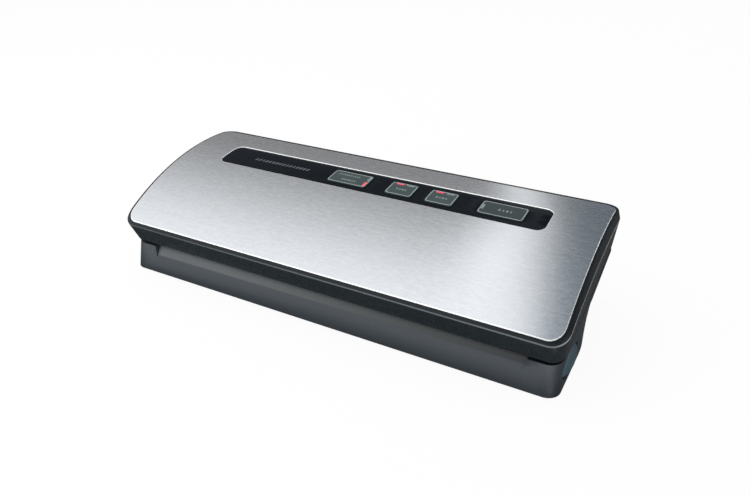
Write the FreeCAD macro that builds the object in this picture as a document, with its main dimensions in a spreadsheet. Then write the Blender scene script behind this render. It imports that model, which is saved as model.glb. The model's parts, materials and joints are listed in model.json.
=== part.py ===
# Countertop vacuum sealer: a curved steel-faced lid hinged at the rear of a wedge-shaped base.
# Millimetres, X to the right, Y to the rear, Z up. The origin is on the table under the middle of the lid.
import FreeCAD, Part
import Sketcher
import math
import os
import re

Vector = FreeCAD.Vector
doc = FreeCAD.newDocument("VacuumSealer")

# Driving sizes. Heights are above the table. A tuck, inset, draw or end is measured inwards from the
# piece outside, and a flare outwards.
sizes = {
    # lid outline, crown, crest line and skirt
    "lidWidth": 380, "lidDepth": 149, "lidCorner": 12,
    "crownRadius": 217, "rimFront": 47, "rimRear": 81.5, "rimRound": 1.8,
    "crestRadius": 312, "crestFront": 46, "crestRear": 74.8,
    "skirtFrontTuck": 2.5, "skirtRearTuck": 2.4, "skirtFrontDraw": 8.5, "skirtRearDraw": 3.5,
    "skirtCorner": 9, "skirtFootHeight": 27.4, "skirtRise": 25.4, "lidWall": 2.2, "lidRoof": 3.2,
    # steel sheet and the control strip let into it
    "steelThick": 0.8, "steelProud": 0.2, "steelSideInset": 4.4, "steelFrontInset": 2.4,
    "steelRearInset": 3, "steelCorner": 10, "fitGap": 0.25,
    "stripEnd": 42.5, "stripDepth": 30.7, "stripMiddle": 23.35, "stripCorner": 7,
    "stripSink": 0.5, "stripThick": 1.6,
    # keys, their lights and the board below them
    "longKey": 36, "shortKey": 23, "keyDepth": 18.5, "keyCorner": 2, "keyProud": 0.7, "keyGap": 0.35,
    "keyFlange": 1.2, "keyFlangeThick": 1, "keyTravel": 0.8, "keyPlay": 0.3, "stemRadius": 2.5,
    "sealKeyEnd": 35.5, "pumpToSeal": 49.6, "foodToPump": 34.9, "vacuumToFood": 47.5,
    "lightWidth": 1.8, "lightLength": 6.6, "lightSpread": 9, "lightEdge": 2.4, "lightDepth": 0.5,
    "boardShift": 1, "boardLength": 196, "boardDepth": 26, "boardThick": 1.6, "boardDrop": 11,
    "boardCorner": 2, "boardScrewInset": 4, "boardScrewBite": 6,
    "switchSide": 6, "switchHeight": 3.5, "plungerRadius": 1.6, "plungerHeight": 0.9,
    # inner cover of the lid and what it carries
    "frameLift": 2, "frameThick": 2.6, "grooveDepth": 1, "softGap": 0.3,
    "gasketEnd": 27, "gasketDepth": 46, "gasketWidth": 7, "gasketCorner": 16, "barToGasket": 30,
    "barEnd": 10, "barDepth": 11, "barHeight": 8, "barDraw": 15.6, "barCorner": 1.5,
    "barTopDrop": 1.2,
    "ribbonWidth": 4, "ribbonThick": 0.2, "tapeThick": 0.2,
    "barToHook": 9, "hookInset": 19, "hookThick": 3, "hookWidth": 10, "hookDrop": 22,
    "hookNose": 3, "noseHeight": 4,
    "lidScrewInset": 27.5, "gasketToScrew": 34, "lidScrewRearDraw": 14.5, "lidScrewNoseX": 100,
    "lidScrewNoseDraw": 6, "ribHeight": 6, "ribThick": 2,
    # hinge
    "hingeEnd": 68, "hingeInset": 0.5, "hingeLift": 0.5, "pinRadius": 2, "pinFit": 0.02, "pinPlay": 0.06,
    "knuckleRadius": 4, "knuckleLength": 14, "earThick": 5, "earGap": 0.3, "swingGap": 0.6,
    # base housing
    "footDrop": 2, "baseWall": 2.4, "partGap": 2.6, "deckSink": 1.4, "deckRim": 5,
    "lipThick": 1.8, "lipTop": 1, "lipFrontDraw": 13.6, "lipRearDraw": 15,
    "baseFrontFlare": 1.5, "baseRearTuck": 7.5, "baseFrontOut": 5.1, "baseRearDraw": 1,
    "baseCorner": 10, "swellStart": -15, "swellEnd": 40,
    "waistFrontTuck": 0.5, "waistRearFlare": 0.4, "waistFrontDraw": 0.4, "waistCorner": 10,
    "rampEnd": 1, "rampLow": 19.4, "rampDepth": 8, "rampSlope": 34, "rampEndLean": 4,
    "troughEnd": 13, "troughDepth": 20, "troughDrop": 10, "troughCorner": 6,
    "slotFrontRoom": 9, "slotRearRoom": 6.5,
    "insertRim": 1.6, "ledgeWidth": 2.5, "ledgeThick": 2,
    "plateThick": 2.5, "plateGap": 0.6, "footRadius": 8, "footTaper": 1, "footInset": 30.5, "footDraw": 15.7,
    "ventCount": 9, "ventPitch": 9, "ventLength": 34, "ventWidth": 3, "ventX": 62,
    # screws
    "screwRadius": 1.45, "screwHeadRadius": 2.8, "screwHeadHeight": 2, "screwLength": 10,
    "screwPlay": 0.1, "boreSpare": 1, "bossRadius": 4, "baseScrewInset": 50.5, "baseScrewDraw": 10,
    "headSink": 1,
    # release buttons
    "buttonHeight": 15, "buttonLong": 18.5, "buttonTall": 9, "buttonProud": 2.5,
    "buttonDome": 6, "buttonGap": 0.4, "buttonTravel": 3, "buttonFlange": 1.4, "flangeInset": 7.2,
    "flangeThick": 2, "flangeTall": 7, "slideWindow": 14.4, "slideRail": 2, "slideHeight": 3, "catchThick": 4,
    "springRadius": 3, "springWire": 0.7, "springLength": 9, "springTurns": 5, "seatThick": 2,
    # pump and power parts
    "nozzleToPump": 64, "pumpDraw": 32, "pumpHeight": 22.5, "motorRadius": 15, "motorLength": 50,
    "shaftRadius": 1.5, "crankcaseRadius": 16, "crankcaseLength": 18, "pumpWall": 2,
    "drumRadius": 10, "drumLength": 8, "drumGap": 1,
    "crankOffset": 1.5, "crankPinRadius": 1.5, "crankPinLength": 6.5,
    "wobbleRadius": 13, "wobbleThick": 2, "diaphragmThick": 3, "headLength": 9, "nozzleRadius": 3,
    "nozzleBore": 1.5, "nozzleLength": 9, "hoseWall": 1.2, "hoseGap": 0.05,
    "cradleLength": 30, "cradleDepth": 30, "cradleHeight": 10.5,
    "powerToNozzle": 44, "nozzleReach": 9, "hoseBend": 14, "hoseHeight": 27.5,
    "coreLength": 48, "coreDepth": 20, "coreHeight": 30, "coreWindow": 8, "coreYoke": 7,
    "coilOverhang": 6, "relayLength": 19, "relayWidth": 15.5, "relayHeight": 15,
    "capacitorRadius": 6, "capacitorHeight": 16, "capacitorPitch": 16,
    "switchWidth": 6.4, "switchLong": 10, "switchTall": 19, "switchGap": 0.4,
    "transformerInset": 84.5, "transformerDraw": 34,
    "powerLength": 62, "powerDepth": 44, "glandToPower": 22, "powerDraw": 37,
    "postHeight": 4, "postRadius": 3,
    "glandInset": 30.5, "glandHeight": 24, "glandBore": 3.6, "glandWall": 1.6, "glandFlange": 2.4,
    "glandFlangeThick": 1.4, "glandDepth": 8,
}
# Spans and places that follow from them. A half is from the middle plane, a reach from the lid's middle.
followers = {
    "skirtFrontHalf": "lidWidth / 2 - skirtFrontTuck", "skirtRearHalf": "lidWidth / 2 - skirtRearTuck",
    "skirtFrontReach": "lidDepth / 2 - skirtFrontDraw", "skirtRearReach": "lidDepth / 2 - skirtRearDraw",
    "waistFrontHalf": "skirtFrontHalf - waistFrontTuck", "waistRearHalf": "skirtRearHalf + waistRearFlare",
    "waistFrontReach": "skirtFrontReach - waistFrontDraw",
    "baseFrontHalf": "waistFrontHalf + baseFrontFlare", "baseRearHalf": "waistRearHalf - baseRearTuck",
    "baseFrontReach": "waistFrontReach + baseFrontOut", "baseRearReach": "skirtRearReach - baseRearDraw",
    "stripLength": "lidWidth - 2 * stripEnd", "gasketLength": "lidWidth - 2 * gasketEnd",
    "barLength": "gasketLength - 2 * barEnd", "troughLength": "gasketLength - 2 * troughEnd",
    "rampHalf": "gasketLength / 2 - rampEnd",
    "barMiddle": "barDraw - waistFrontReach", "gasketMiddle": "barMiddle + barToGasket",
    "hookMiddle": "barMiddle + barToHook", "hookX": "baseFrontHalf - hookInset",
    "flangeX": "baseFrontHalf - flangeInset", "buttonReach": "baseFrontHalf + buttonProud",
    "sealKeyX": "stripLength / 2 - sealKeyEnd", "pumpKeyX": "sealKeyX - pumpToSeal",
    "foodKeyX": "pumpKeyX - foodToPump", "vacuumKeyX": "foodKeyX - vacuumToFood",
    "boardMiddle": "(vacuumKeyX + sealKeyX) / 2 - boardShift",
    "hingeX": "lidWidth / 2 - hingeEnd", "hingeAlong": "skirtRearReach - hingeInset",
    "lidScrewX": "skirtFrontHalf - lidScrewInset", "lidScrewFront": "gasketMiddle + gasketToScrew",
    "lidScrewRear": "hingeAlong - lidScrewRearDraw",
    "lidScrewNose": "lidScrewNoseDraw - skirtFrontReach",
    "lipFront": "lipFrontDraw - waistFrontReach", "lipRear": "skirtRearReach - lipRearDraw",
    "footX": "baseFrontHalf - footInset", "footFront": "footDraw - baseFrontReach",
    "footRear": "baseRearReach - footDraw", "baseScrewX": "baseFrontHalf - baseScrewInset",
    "baseScrewFront": "baseScrewDraw - baseFrontReach", "baseScrewRear": "baseRearReach - baseScrewDraw",
    "glandX": "glandInset - baseRearHalf", "powerX": "glandX + glandToPower",
    "powerY": "baseRearReach - powerDraw", "nozzleX": "powerX + powerToNozzle",
    "pumpX": "nozzleX + nozzleToPump", "pumpY": "baseRearReach - pumpDraw",
    "transformerX": "baseFrontHalf - transformerInset", "transformerY": "baseRearReach - transformerDraw",
}
sheet = doc.addObject("Spreadsheet::Sheet", "Sizes")
for row, (alias, value) in enumerate(sizes.items(), 1):
    sheet.set(f"A{row}", alias)
    sheet.set(f"B{row}", str(value))
    sheet.setAlias(f"B{row}", alias)
doc.recompute()


def cell(word):
    name = word.group()
    if name in followers:
        return f"({formula(followers[name])})"
    return f"Sizes.{name}" if name in sizes else name


def formula(text):
    return re.sub(r"[A-Za-z]\w*", cell, text)


def amount(text):
    return float(sheet.evalExpression(formula(text)))


def size(name):
    return amount(name)


def bind(item, formulas):
    for path, text in formulas.items():
        item.setExpression(path, formula(text))
    return item


# Building blocks of the document

AXIS_TURN = {
    "z": FreeCAD.Rotation(),
    "x": FreeCAD.Rotation(Vector(0, 1, 0), 90),
    "y": FreeCAD.Rotation(Vector(1, 0, 0), -90),
}


def at(item, x, y, z):
    return bind(item, {"Placement.Base.x": x, "Placement.Base.y": y, "Placement.Base.z": z})


def box(length, width, height, x="0", y="0", z="0"):
    item = doc.addObject("Part::Box", "Block")
    bind(item, {"Length": length, "Width": width, "Height": height})
    return at(item, f"({x}) - ({length}) / 2", f"({y}) - ({width}) / 2", z)


def rod(radius, length, x="0", y="0", z="0", along="z"):
    item = doc.addObject("Part::Cylinder", "Rod")
    item.Placement = FreeCAD.Placement(Vector(), AXIS_TURN[along])
    bind(item, {"Radius": radius, "Height": length})
    return at(item, x, y, z)


def rounded_loop(sketch, width, depth, radius):
    halfWidth = amount(width) / 2
    halfDepth = amount(depth) / 2
    bend = amount(radius)
    inX = halfWidth - bend
    inY = halfDepth - bend
    ends = [(-inX, -halfDepth), (inX, -halfDepth), (halfWidth, -inY), (halfWidth, inY),
            (inX, halfDepth), (-inX, halfDepth), (-halfWidth, inY), (-halfWidth, -inY)]
    points = [Vector(x, y, 0) for x, y in ends]
    middles = [(inX, -inY), (inX, inY), (-inX, inY), (-inX, -inY)]
    first = sketch.GeometryCount
    for side in range(4):
        sketch.addGeometry(Part.LineSegment(points[2 * side], points[2 * side + 1]))
        circle = Part.Circle(Vector(*middles[side], 0), Vector(0, 0, 1), bend)
        start = math.radians(-90 + 90 * side)
        sketch.addGeometry(Part.ArcOfCircle(circle, start, start + math.pi / 2))
    lines = [first, first + 2, first + 4, first + 6]
    arcs = [first + 1, first + 3, first + 5, first + 7]
    ring = list(range(first, first + 8))
    for one, two in zip(ring, ring[1:] + ring[:1]):
        sketch.addConstraint(Sketcher.Constraint("Tangent", one, 2, two, 1))
    for line, kind in zip(lines, ("Horizontal", "Vertical", "Horizontal", "Vertical")):
        sketch.addConstraint(Sketcher.Constraint(kind, line))
    for arc in arcs[1:]:
        sketch.addConstraint(Sketcher.Constraint("Equal", arcs[0], arc))
    sketch.addConstraint(Sketcher.Constraint("Symmetric", arcs[0], 3, arcs[2], 3, -1, 1))
    driven = [
        (Sketcher.Constraint("Radius", arcs[0], bend), radius),
        (Sketcher.Constraint("DistanceX", lines[3], 1, lines[1], 1, 2 * halfWidth), width),
        (Sketcher.Constraint("DistanceY", lines[0], 1, lines[2], 1, 2 * halfDepth), depth),
    ]
    for constraint, text in driven:
        place = sketch.addConstraint(constraint)
        sketch.setExpression(f"Constraints[{place}]", formula(text))


def pad(width, depth, radius, height, x="0", y="0", z="0", hole=None):
    body = doc.addObject("PartDesign::Body", "Pad")
    sketch = body.newObject("Sketcher::SketchObject", "Outline")
    plane = [part for part in body.Origin.OriginFeatures if part.Role == "XY_Plane"][0]
    sketch.AttachmentSupport = [(plane, "")]
    sketch.MapMode = "FlatFace"
    rounded_loop(sketch, width, depth, radius)
    if hole:
        rounded_loop(sketch, *hole)
    bind(sketch, {"AttachmentOffset.Base.x": x, "AttachmentOffset.Base.y": y, "AttachmentOffset.Base.z": z})
    rise = body.newObject("PartDesign::Pad", "Rise")
    rise.Profile = sketch
    rise.setExpression("Length", formula(height))
    body.Tip = rise
    return body


def fuse(*items):
    result = doc.addObject("Part::MultiFuse", "Union")
    result.Shapes = list(items)
    return result


def common(*items):
    result = doc.addObject("Part::MultiCommon", "Overlap")
    result.Shapes = list(items)
    return result


def cut(base, *tools):
    result = doc.addObject("Part::Cut", "Cut")
    result.Base = base
    result.Tool = tools[0] if len(tools) == 1 else fuse(*tools)
    return result


def group(*items):
    result = doc.addObject("Part::Compound", "Group")
    result.Links = list(items)
    return result


def solid(shape):
    item = doc.addObject("Part::Feature", "Solid")
    item.Shape = shape
    return item


subParts = []


def sub_part(label, item, frame=None):
    item.Label = label
    if frame:
        item.Placement = frame
    subParts.append(item)
    return item


# Frames: the tilted deck plane at the lid's foot, and the crown under the control strip

tilt = math.atan2(size("skirtRise"), size("skirtFrontReach") + size("skirtRearReach"))


def skirt_height(y):
    return size("skirtFootHeight") + (y + size("skirtFrontReach")) * math.tan(tilt)


deck = FreeCAD.Placement(Vector(0, 0, skirt_height(0)), FreeCAD.Rotation(Vector(1, 0, 0), math.degrees(tilt)))


def arc_centre(radius, front, rear):
    half = size("lidDepth") / 2
    chord = math.hypot(2 * half, rear - front)
    drop = math.sqrt(radius ** 2 - (chord / 2) ** 2)
    return drop * (rear - front) / chord, (front + rear) / 2 - drop * 2 * half / chord


def arc_height(radius, centre, y):
    return centre[1] + math.sqrt(radius ** 2 - (y - centre[0]) ** 2)


crownCentre = arc_centre(size("crownRadius"), size("rimFront"), size("rimRear"))
crestCentre = arc_centre(size("crestRadius"), size("crestFront"), size("crestRear"))


def crown(y):
    return arc_height(size("crownRadius"), crownCentre, y)


def crest(y):
    return arc_height(size("crestRadius"), crestCentre, y)


stripLean = math.asin((crownCentre[0] - size("stripMiddle")) / size("crownRadius"))
strip = FreeCAD.Placement(
    Vector(0, size("stripMiddle"), crown(size("stripMiddle"))),
    FreeCAD.Rotation(Vector(1, 0, 0), math.degrees(stripLean)))


# Rounded outlines in plan, lifted to a height that may change along Y

def corner(before, point, after, radius):
    one = (before - point).normalize()
    two = (after - point).normalize()
    half = one.getAngle(two) / 2
    middle = point + (one + two).normalize() * (radius / math.sin(half))
    reach = radius / math.tan(half)
    return point + one * reach, middle + (point - middle).normalize() * radius, point + two * reach


def outline(frontHalf, rearHalf, frontY, rearY, radius, height, swell=None):
    frontRight = Vector(frontHalf, frontY, 0)
    rearRight = Vector(rearHalf, rearY, 0)
    frontLeft = Vector(-frontHalf, frontY, 0)
    rearLeft = Vector(-rearHalf, rearY, 0)
    low = rearRight
    high = frontRight
    if swell:
        low = Vector(frontHalf, swell[0], 0)
        high = Vector(rearHalf, swell[1], 0)
        if not swell[2]:
            slope = (rearRight - frontRight) / (rearY - frontY)
            low = frontRight + slope * (swell[0] - frontY)
            high = frontRight + slope * (swell[1] - frontY)
    frontBend = corner(frontLeft, frontRight, low, radius)
    rearBend = corner(high, rearRight, rearLeft, radius)
    right = [list(frontBend)]
    if swell:
        halfway = (low.y + high.y) / 2
        right.append([frontBend[2], low])
        bend = [low, Vector(low.x, halfway, 0), Vector(high.x, halfway, 0), high]
        right.append(bend if swell[2] else [low, high])
        right.append([high, rearBend[0]])
    else:
        right.append([frontBend[2], rearBend[0]])
    right.append(list(rearBend))
    left = [[Vector(-p.x, p.y, 0) for p in reversed(part)] for part in reversed(right)]
    parts = [[left[-1][-1], right[0][0]]] + right + [[right[-1][-1], left[0][0]]] + left
    return Part.Wire([lifted(part, height) for part in parts])


def lifted(points, height):
    raised = [Vector(p.x, p.y, height(p.y)) for p in points]
    if len(points) == 4:
        curve = Part.BezierCurve()
        curve.setPoles(raised)
        return curve.toShape()
    if len(points) == 2:
        middle = (points[0] + points[1]) / 2
        raised.insert(1, Vector(middle.x, middle.y, height(middle.y)))
    bow = raised[1].distanceToLineSegment(raised[0], raised[2]).Length
    if bow < 1e-6:
        return Part.LineSegment(raised[0], raised[2]).toShape()
    return Part.Arc(*raised).toShape()


def prism_x(points, halfLength):
    corners = [Vector(-halfLength, y, z) for y, z in points]
    return Part.Face(Part.makePolygon(corners + corners[:1])).extrude(Vector(2 * halfLength, 0, 0))


def bar_x(radius, x, length, centre):
    return Part.makeCylinder(radius, length, Vector(x, centre[0], centre[1]), Vector(1, 0, 0))


def block(x0, x1, y0, y1, z0, z1, frame=None):
    shape = Part.makeBox(x1 - x0, y1 - y0, z1 - z0, Vector(x0, y0, z0))
    if frame:
        shape.Placement = frame
    return shape


def both_sides(shape):
    return [shape, shape.mirror(Vector(), Vector(1, 0, 0))]


# Lid: outer form and the same form drawn inwards

def lid_form(inset, drop, floor):
    half = size("lidWidth") / 2
    reach = size("lidDepth") / 2
    crestInset = inset + drop / 2

    def ring(draw, height):
        return outline(half - draw, half - draw, draw - reach, reach - draw,
                       size("lidCorner") - draw / 4, height)

    def band(share):
        return lambda y: crest(y) - drop + share * (crown(y) - crest(y))

    foot = outline(size("skirtFrontHalf") - inset, size("skirtRearHalf") - inset,
                   inset - size("skirtFrontReach"), size("skirtRearReach") - inset,
                   size("skirtCorner") - inset / 2, lambda y: skirt_height(y) - floor)
    topInset = crestInset + 2 * size("rimRound")
    ceiling = size("rimRear") + size("crownRadius") / 4
    rings = [foot, ring(crestInset, band(0)), ring(topInset, band(2)), ring(topInset, lambda y: ceiling)]
    return Part.makeLoft(rings, True, True).common(crown_rod(-drop))


def crown_rod(grow):
    return bar_x(size("crownRadius") + grow, -size("lidWidth"), 2 * size("lidWidth"), crownCentre)


def framed(shape, frame):
    shape.Placement = frame
    return shape


def slab(low, high, frame):
    wide = size("lidWidth")
    return block(-wide, wide, -wide, wide, low, high, frame)


def rounded_block(length, depth, radius, x, y, low, high, frame=FreeCAD.Placement()):
    ring = outline(length / 2, length / 2, -depth / 2, depth / 2, radius, lambda along: low)
    shape = Part.Face(ring).extrude(Vector(0, 0, high - low))
    shape.translate(Vector(x, y, 0))
    return framed(shape, frame.multiply(shape.Placement))


def upright(radius, x, y, low, high, frame=FreeCAD.Placement()):
    foot = FreeCAD.Placement(Vector(x, y, low), FreeCAD.Rotation())
    return framed(Part.makeCylinder(radius, high - low), frame.multiply(foot))


def sides(middle):
    return [-middle, middle]


keys = [
    ("vacuum", size("vacuumKeyX"), "longKey"),
    ("food", size("foodKeyX"), "shortKey"),
    ("pump", size("pumpKeyX"), "shortKey"),
    ("seal", size("sealKeyX"), "longKey"),
]
frameTop = size("frameLift") + size("frameThick")
lidScrews = [(x, size("lidScrewFront")) for x in sides(size("lidScrewX"))]
lidScrews += [(x, size("lidScrewRear")) for x in sides(size("lidScrewX"))]
lidScrews += [(x, size("lidScrewNose")) for x in sides(size("lidScrewNoseX"))]
boardScrews = [(size("boardMiddle") + x, y)
               for x in sides(size("boardLength") / 2 - size("boardScrewInset"))
               for y in sides(size("boardDepth") / 2 - size("boardScrewInset"))]


def lid_shell():
    outer = lid_form(0, 0, 0)
    shell = outer.cut(lid_form(size("lidWall"), size("lidRoof"), 1))
    high = crownCentre[1] + size("crownRadius") + size("lidRoof")
    under = outer.common(crown_rod(-size("lidRoof") / 2))
    bosses = [upright(size("bossRadius"), x, y, frameTop, high, deck) for x, y in lidScrews]
    bosses += [upright(size("bossRadius"), x, y, -size("boardDrop"), -size("lidRoof") / 2, strip)
               for x, y in boardScrews]
    shell = shell.fuse([boss.common(under) for boss in bosses])
    gap = size("fitGap")
    steelDepth = size("lidDepth") - size("steelFrontInset") - size("steelRearInset")
    steelWidth = size("lidWidth") - 2 * size("steelSideInset")
    steelMiddle = (size("steelFrontInset") - size("steelRearInset")) / 2
    steelSeat = rounded_block(steelWidth + 2 * gap, steelDepth + 2 * gap, size("steelCorner") + gap,
                              0, steelMiddle, size("crestFront") - size("lidRoof"), high)
    stripFloor = -size("stripSink") - size("stripThick")
    stripSeat = rounded_block(size("stripLength") + 2 * gap, size("stripDepth") + 2 * gap,
                              size("stripCorner") + gap, 0, 0, -size("lidRoof"), size("lidRoof"), strip)
    seats = [steelSeat.cut(crown_rod(size("steelProud") - size("steelThick"))),
             stripSeat.cut(crown_rod(stripFloor))]
    for name, x, width in keys:
        spread = 2 * (size("keyFlange") + size("keyGap"))
        seats.append(rounded_block(size(width) + spread, size("keyDepth") + spread, size("keyCorner"),
                                   x, 0, -2 * size("lidRoof"), 0, strip))
    bore = size("screwRadius") + size("pinFit")
    depth = size("screwLength") + size("boreSpare")
    seats += [upright(bore, x, y, frameTop, size("frameLift") + depth, deck) for x, y in lidScrews]
    boardLevel = -size("boardDrop")
    seats += [upright(bore, x, y, boardLevel - size("boardThick"), boardLevel + size("boardScrewBite"), strip)
              for x, y in boardScrews]
    half = size("knuckleLength") / 2 + size("earGap") + size("earThick") + size("swingGap")
    reach = size("knuckleRadius") + size("swingGap")
    for x in sides(size("hingeX")):
        seats.append(block(x - half, x + half, size("hingeAlong") - 2 * reach, size("hingeAlong") + 3 * reach,
                           -2 * reach, size("hingeLift") + reach, deck))
    return shell.cut(seats)


def hook_arm():
    low = -size("hookDrop")
    front = size("hookMiddle") - size("hookWidth") / 2
    inner = size("hookX") - size("hookThick") / 2
    top = low + size("noseHeight")
    nose = [(inner, low), (inner, top), (inner - size("hookNose"), top), (inner - size("hookNose"), top - 1)]
    corners = [Vector(x, front, z) for x, z in nose]
    nose = Part.Face(Part.makePolygon(corners + corners[:1])).extrude(Vector(0, size("hookWidth"), 0))
    rear = front + size("hookWidth")
    root = size("frameLift") + size("frameThick") / 2
    arm = block(inner, inner + size("hookThick"), front, rear, low, root)
    return framed(arm.fuse(nose).removeSplitter(), deck)


def gasket_loop(spread, low, high):
    outer = rounded_block(size("gasketLength") + 2 * spread, size("gasketDepth") + 2 * spread,
                          size("gasketCorner") + spread, 0, size("gasketMiddle"), low, high, deck)
    draw = 2 * size("gasketWidth") + 2 * spread
    inner = rounded_block(size("gasketLength") - draw, size("gasketDepth") - draw,
                          size("gasketCorner") - size("gasketWidth") - spread, 0, size("gasketMiddle"),
                          low - 1, high + 1, deck)
    return outer.cut(inner)


def hinge_bar(radius, x, length):
    bar = Part.makeCylinder(radius, length, Vector(x, size("hingeAlong"), size("hingeLift")), Vector(1, 0, 0))
    return framed(bar, deck)


def lid_frame():
    gap = size("fitGap")
    form = lid_form(size("lidWall") + gap, size("lidRoof"), 1)
    plate = form.common(slab(size("frameLift"), frameTop, deck))
    adds = both_sides(hook_arm())
    cuts = [gasket_loop(gap, size("frameLift") - 1, size("frameLift") + size("grooveDepth"))]
    cuts.append(rounded_block(size("barLength") + 2 * gap, size("barDepth") + 2 * gap,
                              size("barCorner") + gap, 0, size("barMiddle"),
                              size("frameLift") - size("grooveDepth"),
                              size("frameLift") + size("grooveDepth"), deck))
    half = size("knuckleLength") / 2
    earSpan = size("earThick") + 2 * size("earGap")
    earRoom = size("knuckleRadius") + size("swingGap")
    for x in sides(size("hingeX")):
        cuts += [hinge_bar(earRoom, x - half - earSpan, earSpan), hinge_bar(earRoom, x + half, earSpan)]
        adds.append(hinge_bar(size("knuckleRadius"), x - half, 2 * half))
        adds.append(block(x - half, x + half, size("hingeAlong") - 3 * size("knuckleRadius"),
                          size("hingeAlong"), size("hingeLift"), frameTop, deck))
        cuts.append(hinge_bar(size("pinRadius") + size("pinPlay"), x - 2 * half, 4 * half))
    ribTop = frameTop + size("ribHeight")
    for along in [size("gasketMiddle") + offset for offset in sides(size("gasketDepth") / 2)]:
        half = size("gasketLength") / 2
        adds.append(block(-half, half, along - size("ribThick"), along, frameTop, ribTop, deck))
    bore = size("screwRadius") + size("screwPlay")
    cuts += [upright(bore, x, y, 0, 2 * frameTop, deck) for x, y in lidScrews]
    return plate.fuse(adds).cut(cuts)


# Lid pieces

sub_part("lid_shell", solid(lid_shell()))
sub_part("lid_frame", solid(lid_frame()))


def crown_bar(grow):
    item = doc.addObject("Part::Cylinder", "CrownBar")
    bind(item, {"Radius": f"crownRadius + {grow}", "Height": "lidWidth"})
    item.Placement = FreeCAD.Placement(Vector(-size("lidWidth") / 2, *crownCentre), AXIS_TURN["x"])
    return item


def strip_bar(grow):
    return rod(f"crownRadius + {grow}", "lidWidth", "-lidWidth / 2", "0", "-crownRadius", "x")


def steel_cover():
    blank = pad("lidWidth - 2 * steelSideInset", "lidDepth - steelFrontInset - steelRearInset", "steelCorner",
                "rimRear", "0", "(steelFrontInset - steelRearInset) / 2", "rimFront / 2")
    window = pad("stripLength", "stripDepth", "stripCorner", "4 * lidRoof", "0", "0", "-2 * lidRoof")
    window.Placement = strip
    return cut(common(blank, crown_bar("steelProud")), crown_bar("steelProud - steelThick"), window)


def control_strip():
    blank = pad("stripLength - 2 * fitGap", "stripDepth - 2 * fitGap", "stripCorner - fitGap", "2 * lidRoof",
                "0", "0", "-lidRoof")
    windows = [pad(f"{width} + 2 * keyGap", "keyDepth + 2 * keyGap", "keyCorner + keyGap", "4 * lidRoof",
                   str(x), "0", "-2 * lidRoof") for name, x, width in keys]
    return cut(common(blank, strip_bar("(-stripSink)")), strip_bar("(-stripSink - stripThick)"), *windows)


def light_bars(name, width, alias):
    across = ["lightWidth", "lightLength"]
    if name == "vacuum":
        spots = [(f"{width} / 2 - lightEdge", f"{end} * lightSpread / 2") for end in (-1, 1)]
    elif name == "seal":
        spots = [(f"lightEdge - {width} / 2", "0")]
    else:
        across.reverse()
        spots = [(f"{end} * lightSpread / 2", "keyDepth / 2 - lightEdge") for end in (-1, 1)]
    return [(across, f"{alias} + {x}", y) for x, y in spots]


def push_key(name, x, width):
    alias = f"{name}KeyX"
    low = "(stripSink + stripThick + keyPlay + keyFlangeThick)"
    cap = common(pad(width, "keyDepth", "keyCorner", f"{low} + lidRoof", alias, "0", f"-{low}"),
                 strip_bar("keyProud - stripSink"))
    flange = common(pad(f"{width} + 2 * keyFlange", "keyDepth + 2 * keyFlange", "keyCorner + keyFlange",
                        "lidRoof", alias, "0", f"-{low}"), strip_bar("(-stripSink - stripThick - keyPlay)"))
    stemLow = "(boardDrop - switchHeight - plungerHeight - keyTravel - keyPlay)"
    stem = rod("stemRadius", f"{stemLow} - {low} + keyFlangeThick / 2", alias, "0", f"-{stemLow}")
    bars = light_bars(name, width, alias)
    pockets = [cut(box(f"{across[0]} + 2 * pinPlay", f"{across[1]} + 2 * pinPlay", "lidRoof", barX, barY,
                       "-lidRoof / 2"), strip_bar("keyProud - stripSink - lightDepth"))
               for across, barX, barY in bars]
    lights = [common(box(*across, "lidRoof", barX, barY, "-lidRoof / 2"), strip_bar("keyProud - stripSink"))
              for across, barX, barY in bars]
    lights = [cut(light, strip_bar("keyProud - stripSink - lightDepth")) for light in lights]
    sub_part(f"{name}_key", cut(fuse(cap, flange, stem), *pockets), strip)
    sub_part(f"{name}_lights", group(*lights), strip)


sub_part("steel_cover", steel_cover())
sub_part("control_strip", control_strip(), strip)
for name, x, width in keys:
    push_key(name, x, width)


def control_board():
    blank = pad("boardLength", "boardDepth", "boardCorner", "boardThick", "boardMiddle", "0",
                "-boardDrop - boardThick")
    holes = [rod("screwRadius + screwPlay", "2 * boardDrop", str(x), str(y), "-2 * boardDrop")
             for x, y in boardScrews]
    return cut(blank, *holes)


def key_switches():
    tops = []
    for name, x, width in keys:
        case = box("switchSide", "switchSide", "switchHeight", f"{name}KeyX", "0", "-boardDrop")
        plunger = rod("plungerRadius", "plungerHeight + switchHeight / 2", f"{name}KeyX", "0",
                      "-boardDrop + switchHeight / 2")
        tops.append(fuse(case, plunger))
    return group(*tops)


def screw(x, y, seat, bite):
    head = rod("screwHeadRadius", "screwHeadHeight", x, y, f"{seat} - screwHeadHeight")
    shank = rod("screwRadius", bite, x, y, seat)
    return fuse(head, shank)


sub_part("control_board", control_board(), strip)
sub_part("key_switches", key_switches(), strip)
boardSeat = "(-boardDrop - boardThick)"
boardBite = "boardThick + boardScrewBite - boreSpare"
sub_part("board_screws", group(*[screw(str(x), str(y), boardSeat, boardBite) for x, y in boardScrews]), strip)
sub_part("lid_screws", group(*[screw(str(x), str(y), "frameLift", "screwLength")
                               for x, y in lidScrews]), deck)
gasketHole = ("gasketLength - 2 * gasketWidth", "gasketDepth - 2 * gasketWidth", "gasketCorner - gasketWidth")
upperHeight = "frameLift + grooveDepth - softGap"
sub_part("upper_gasket", pad("gasketLength", "gasketDepth", "gasketCorner", upperHeight, "0", "gasketMiddle",
                             "softGap", gasketHole), deck)
sub_part("pressure_strip", pad("barLength", "barDepth", "barCorner", upperHeight, "0", "barMiddle",
                               "softGap"), deck)

# Base: outer form and the same form drawn inwards

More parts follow.
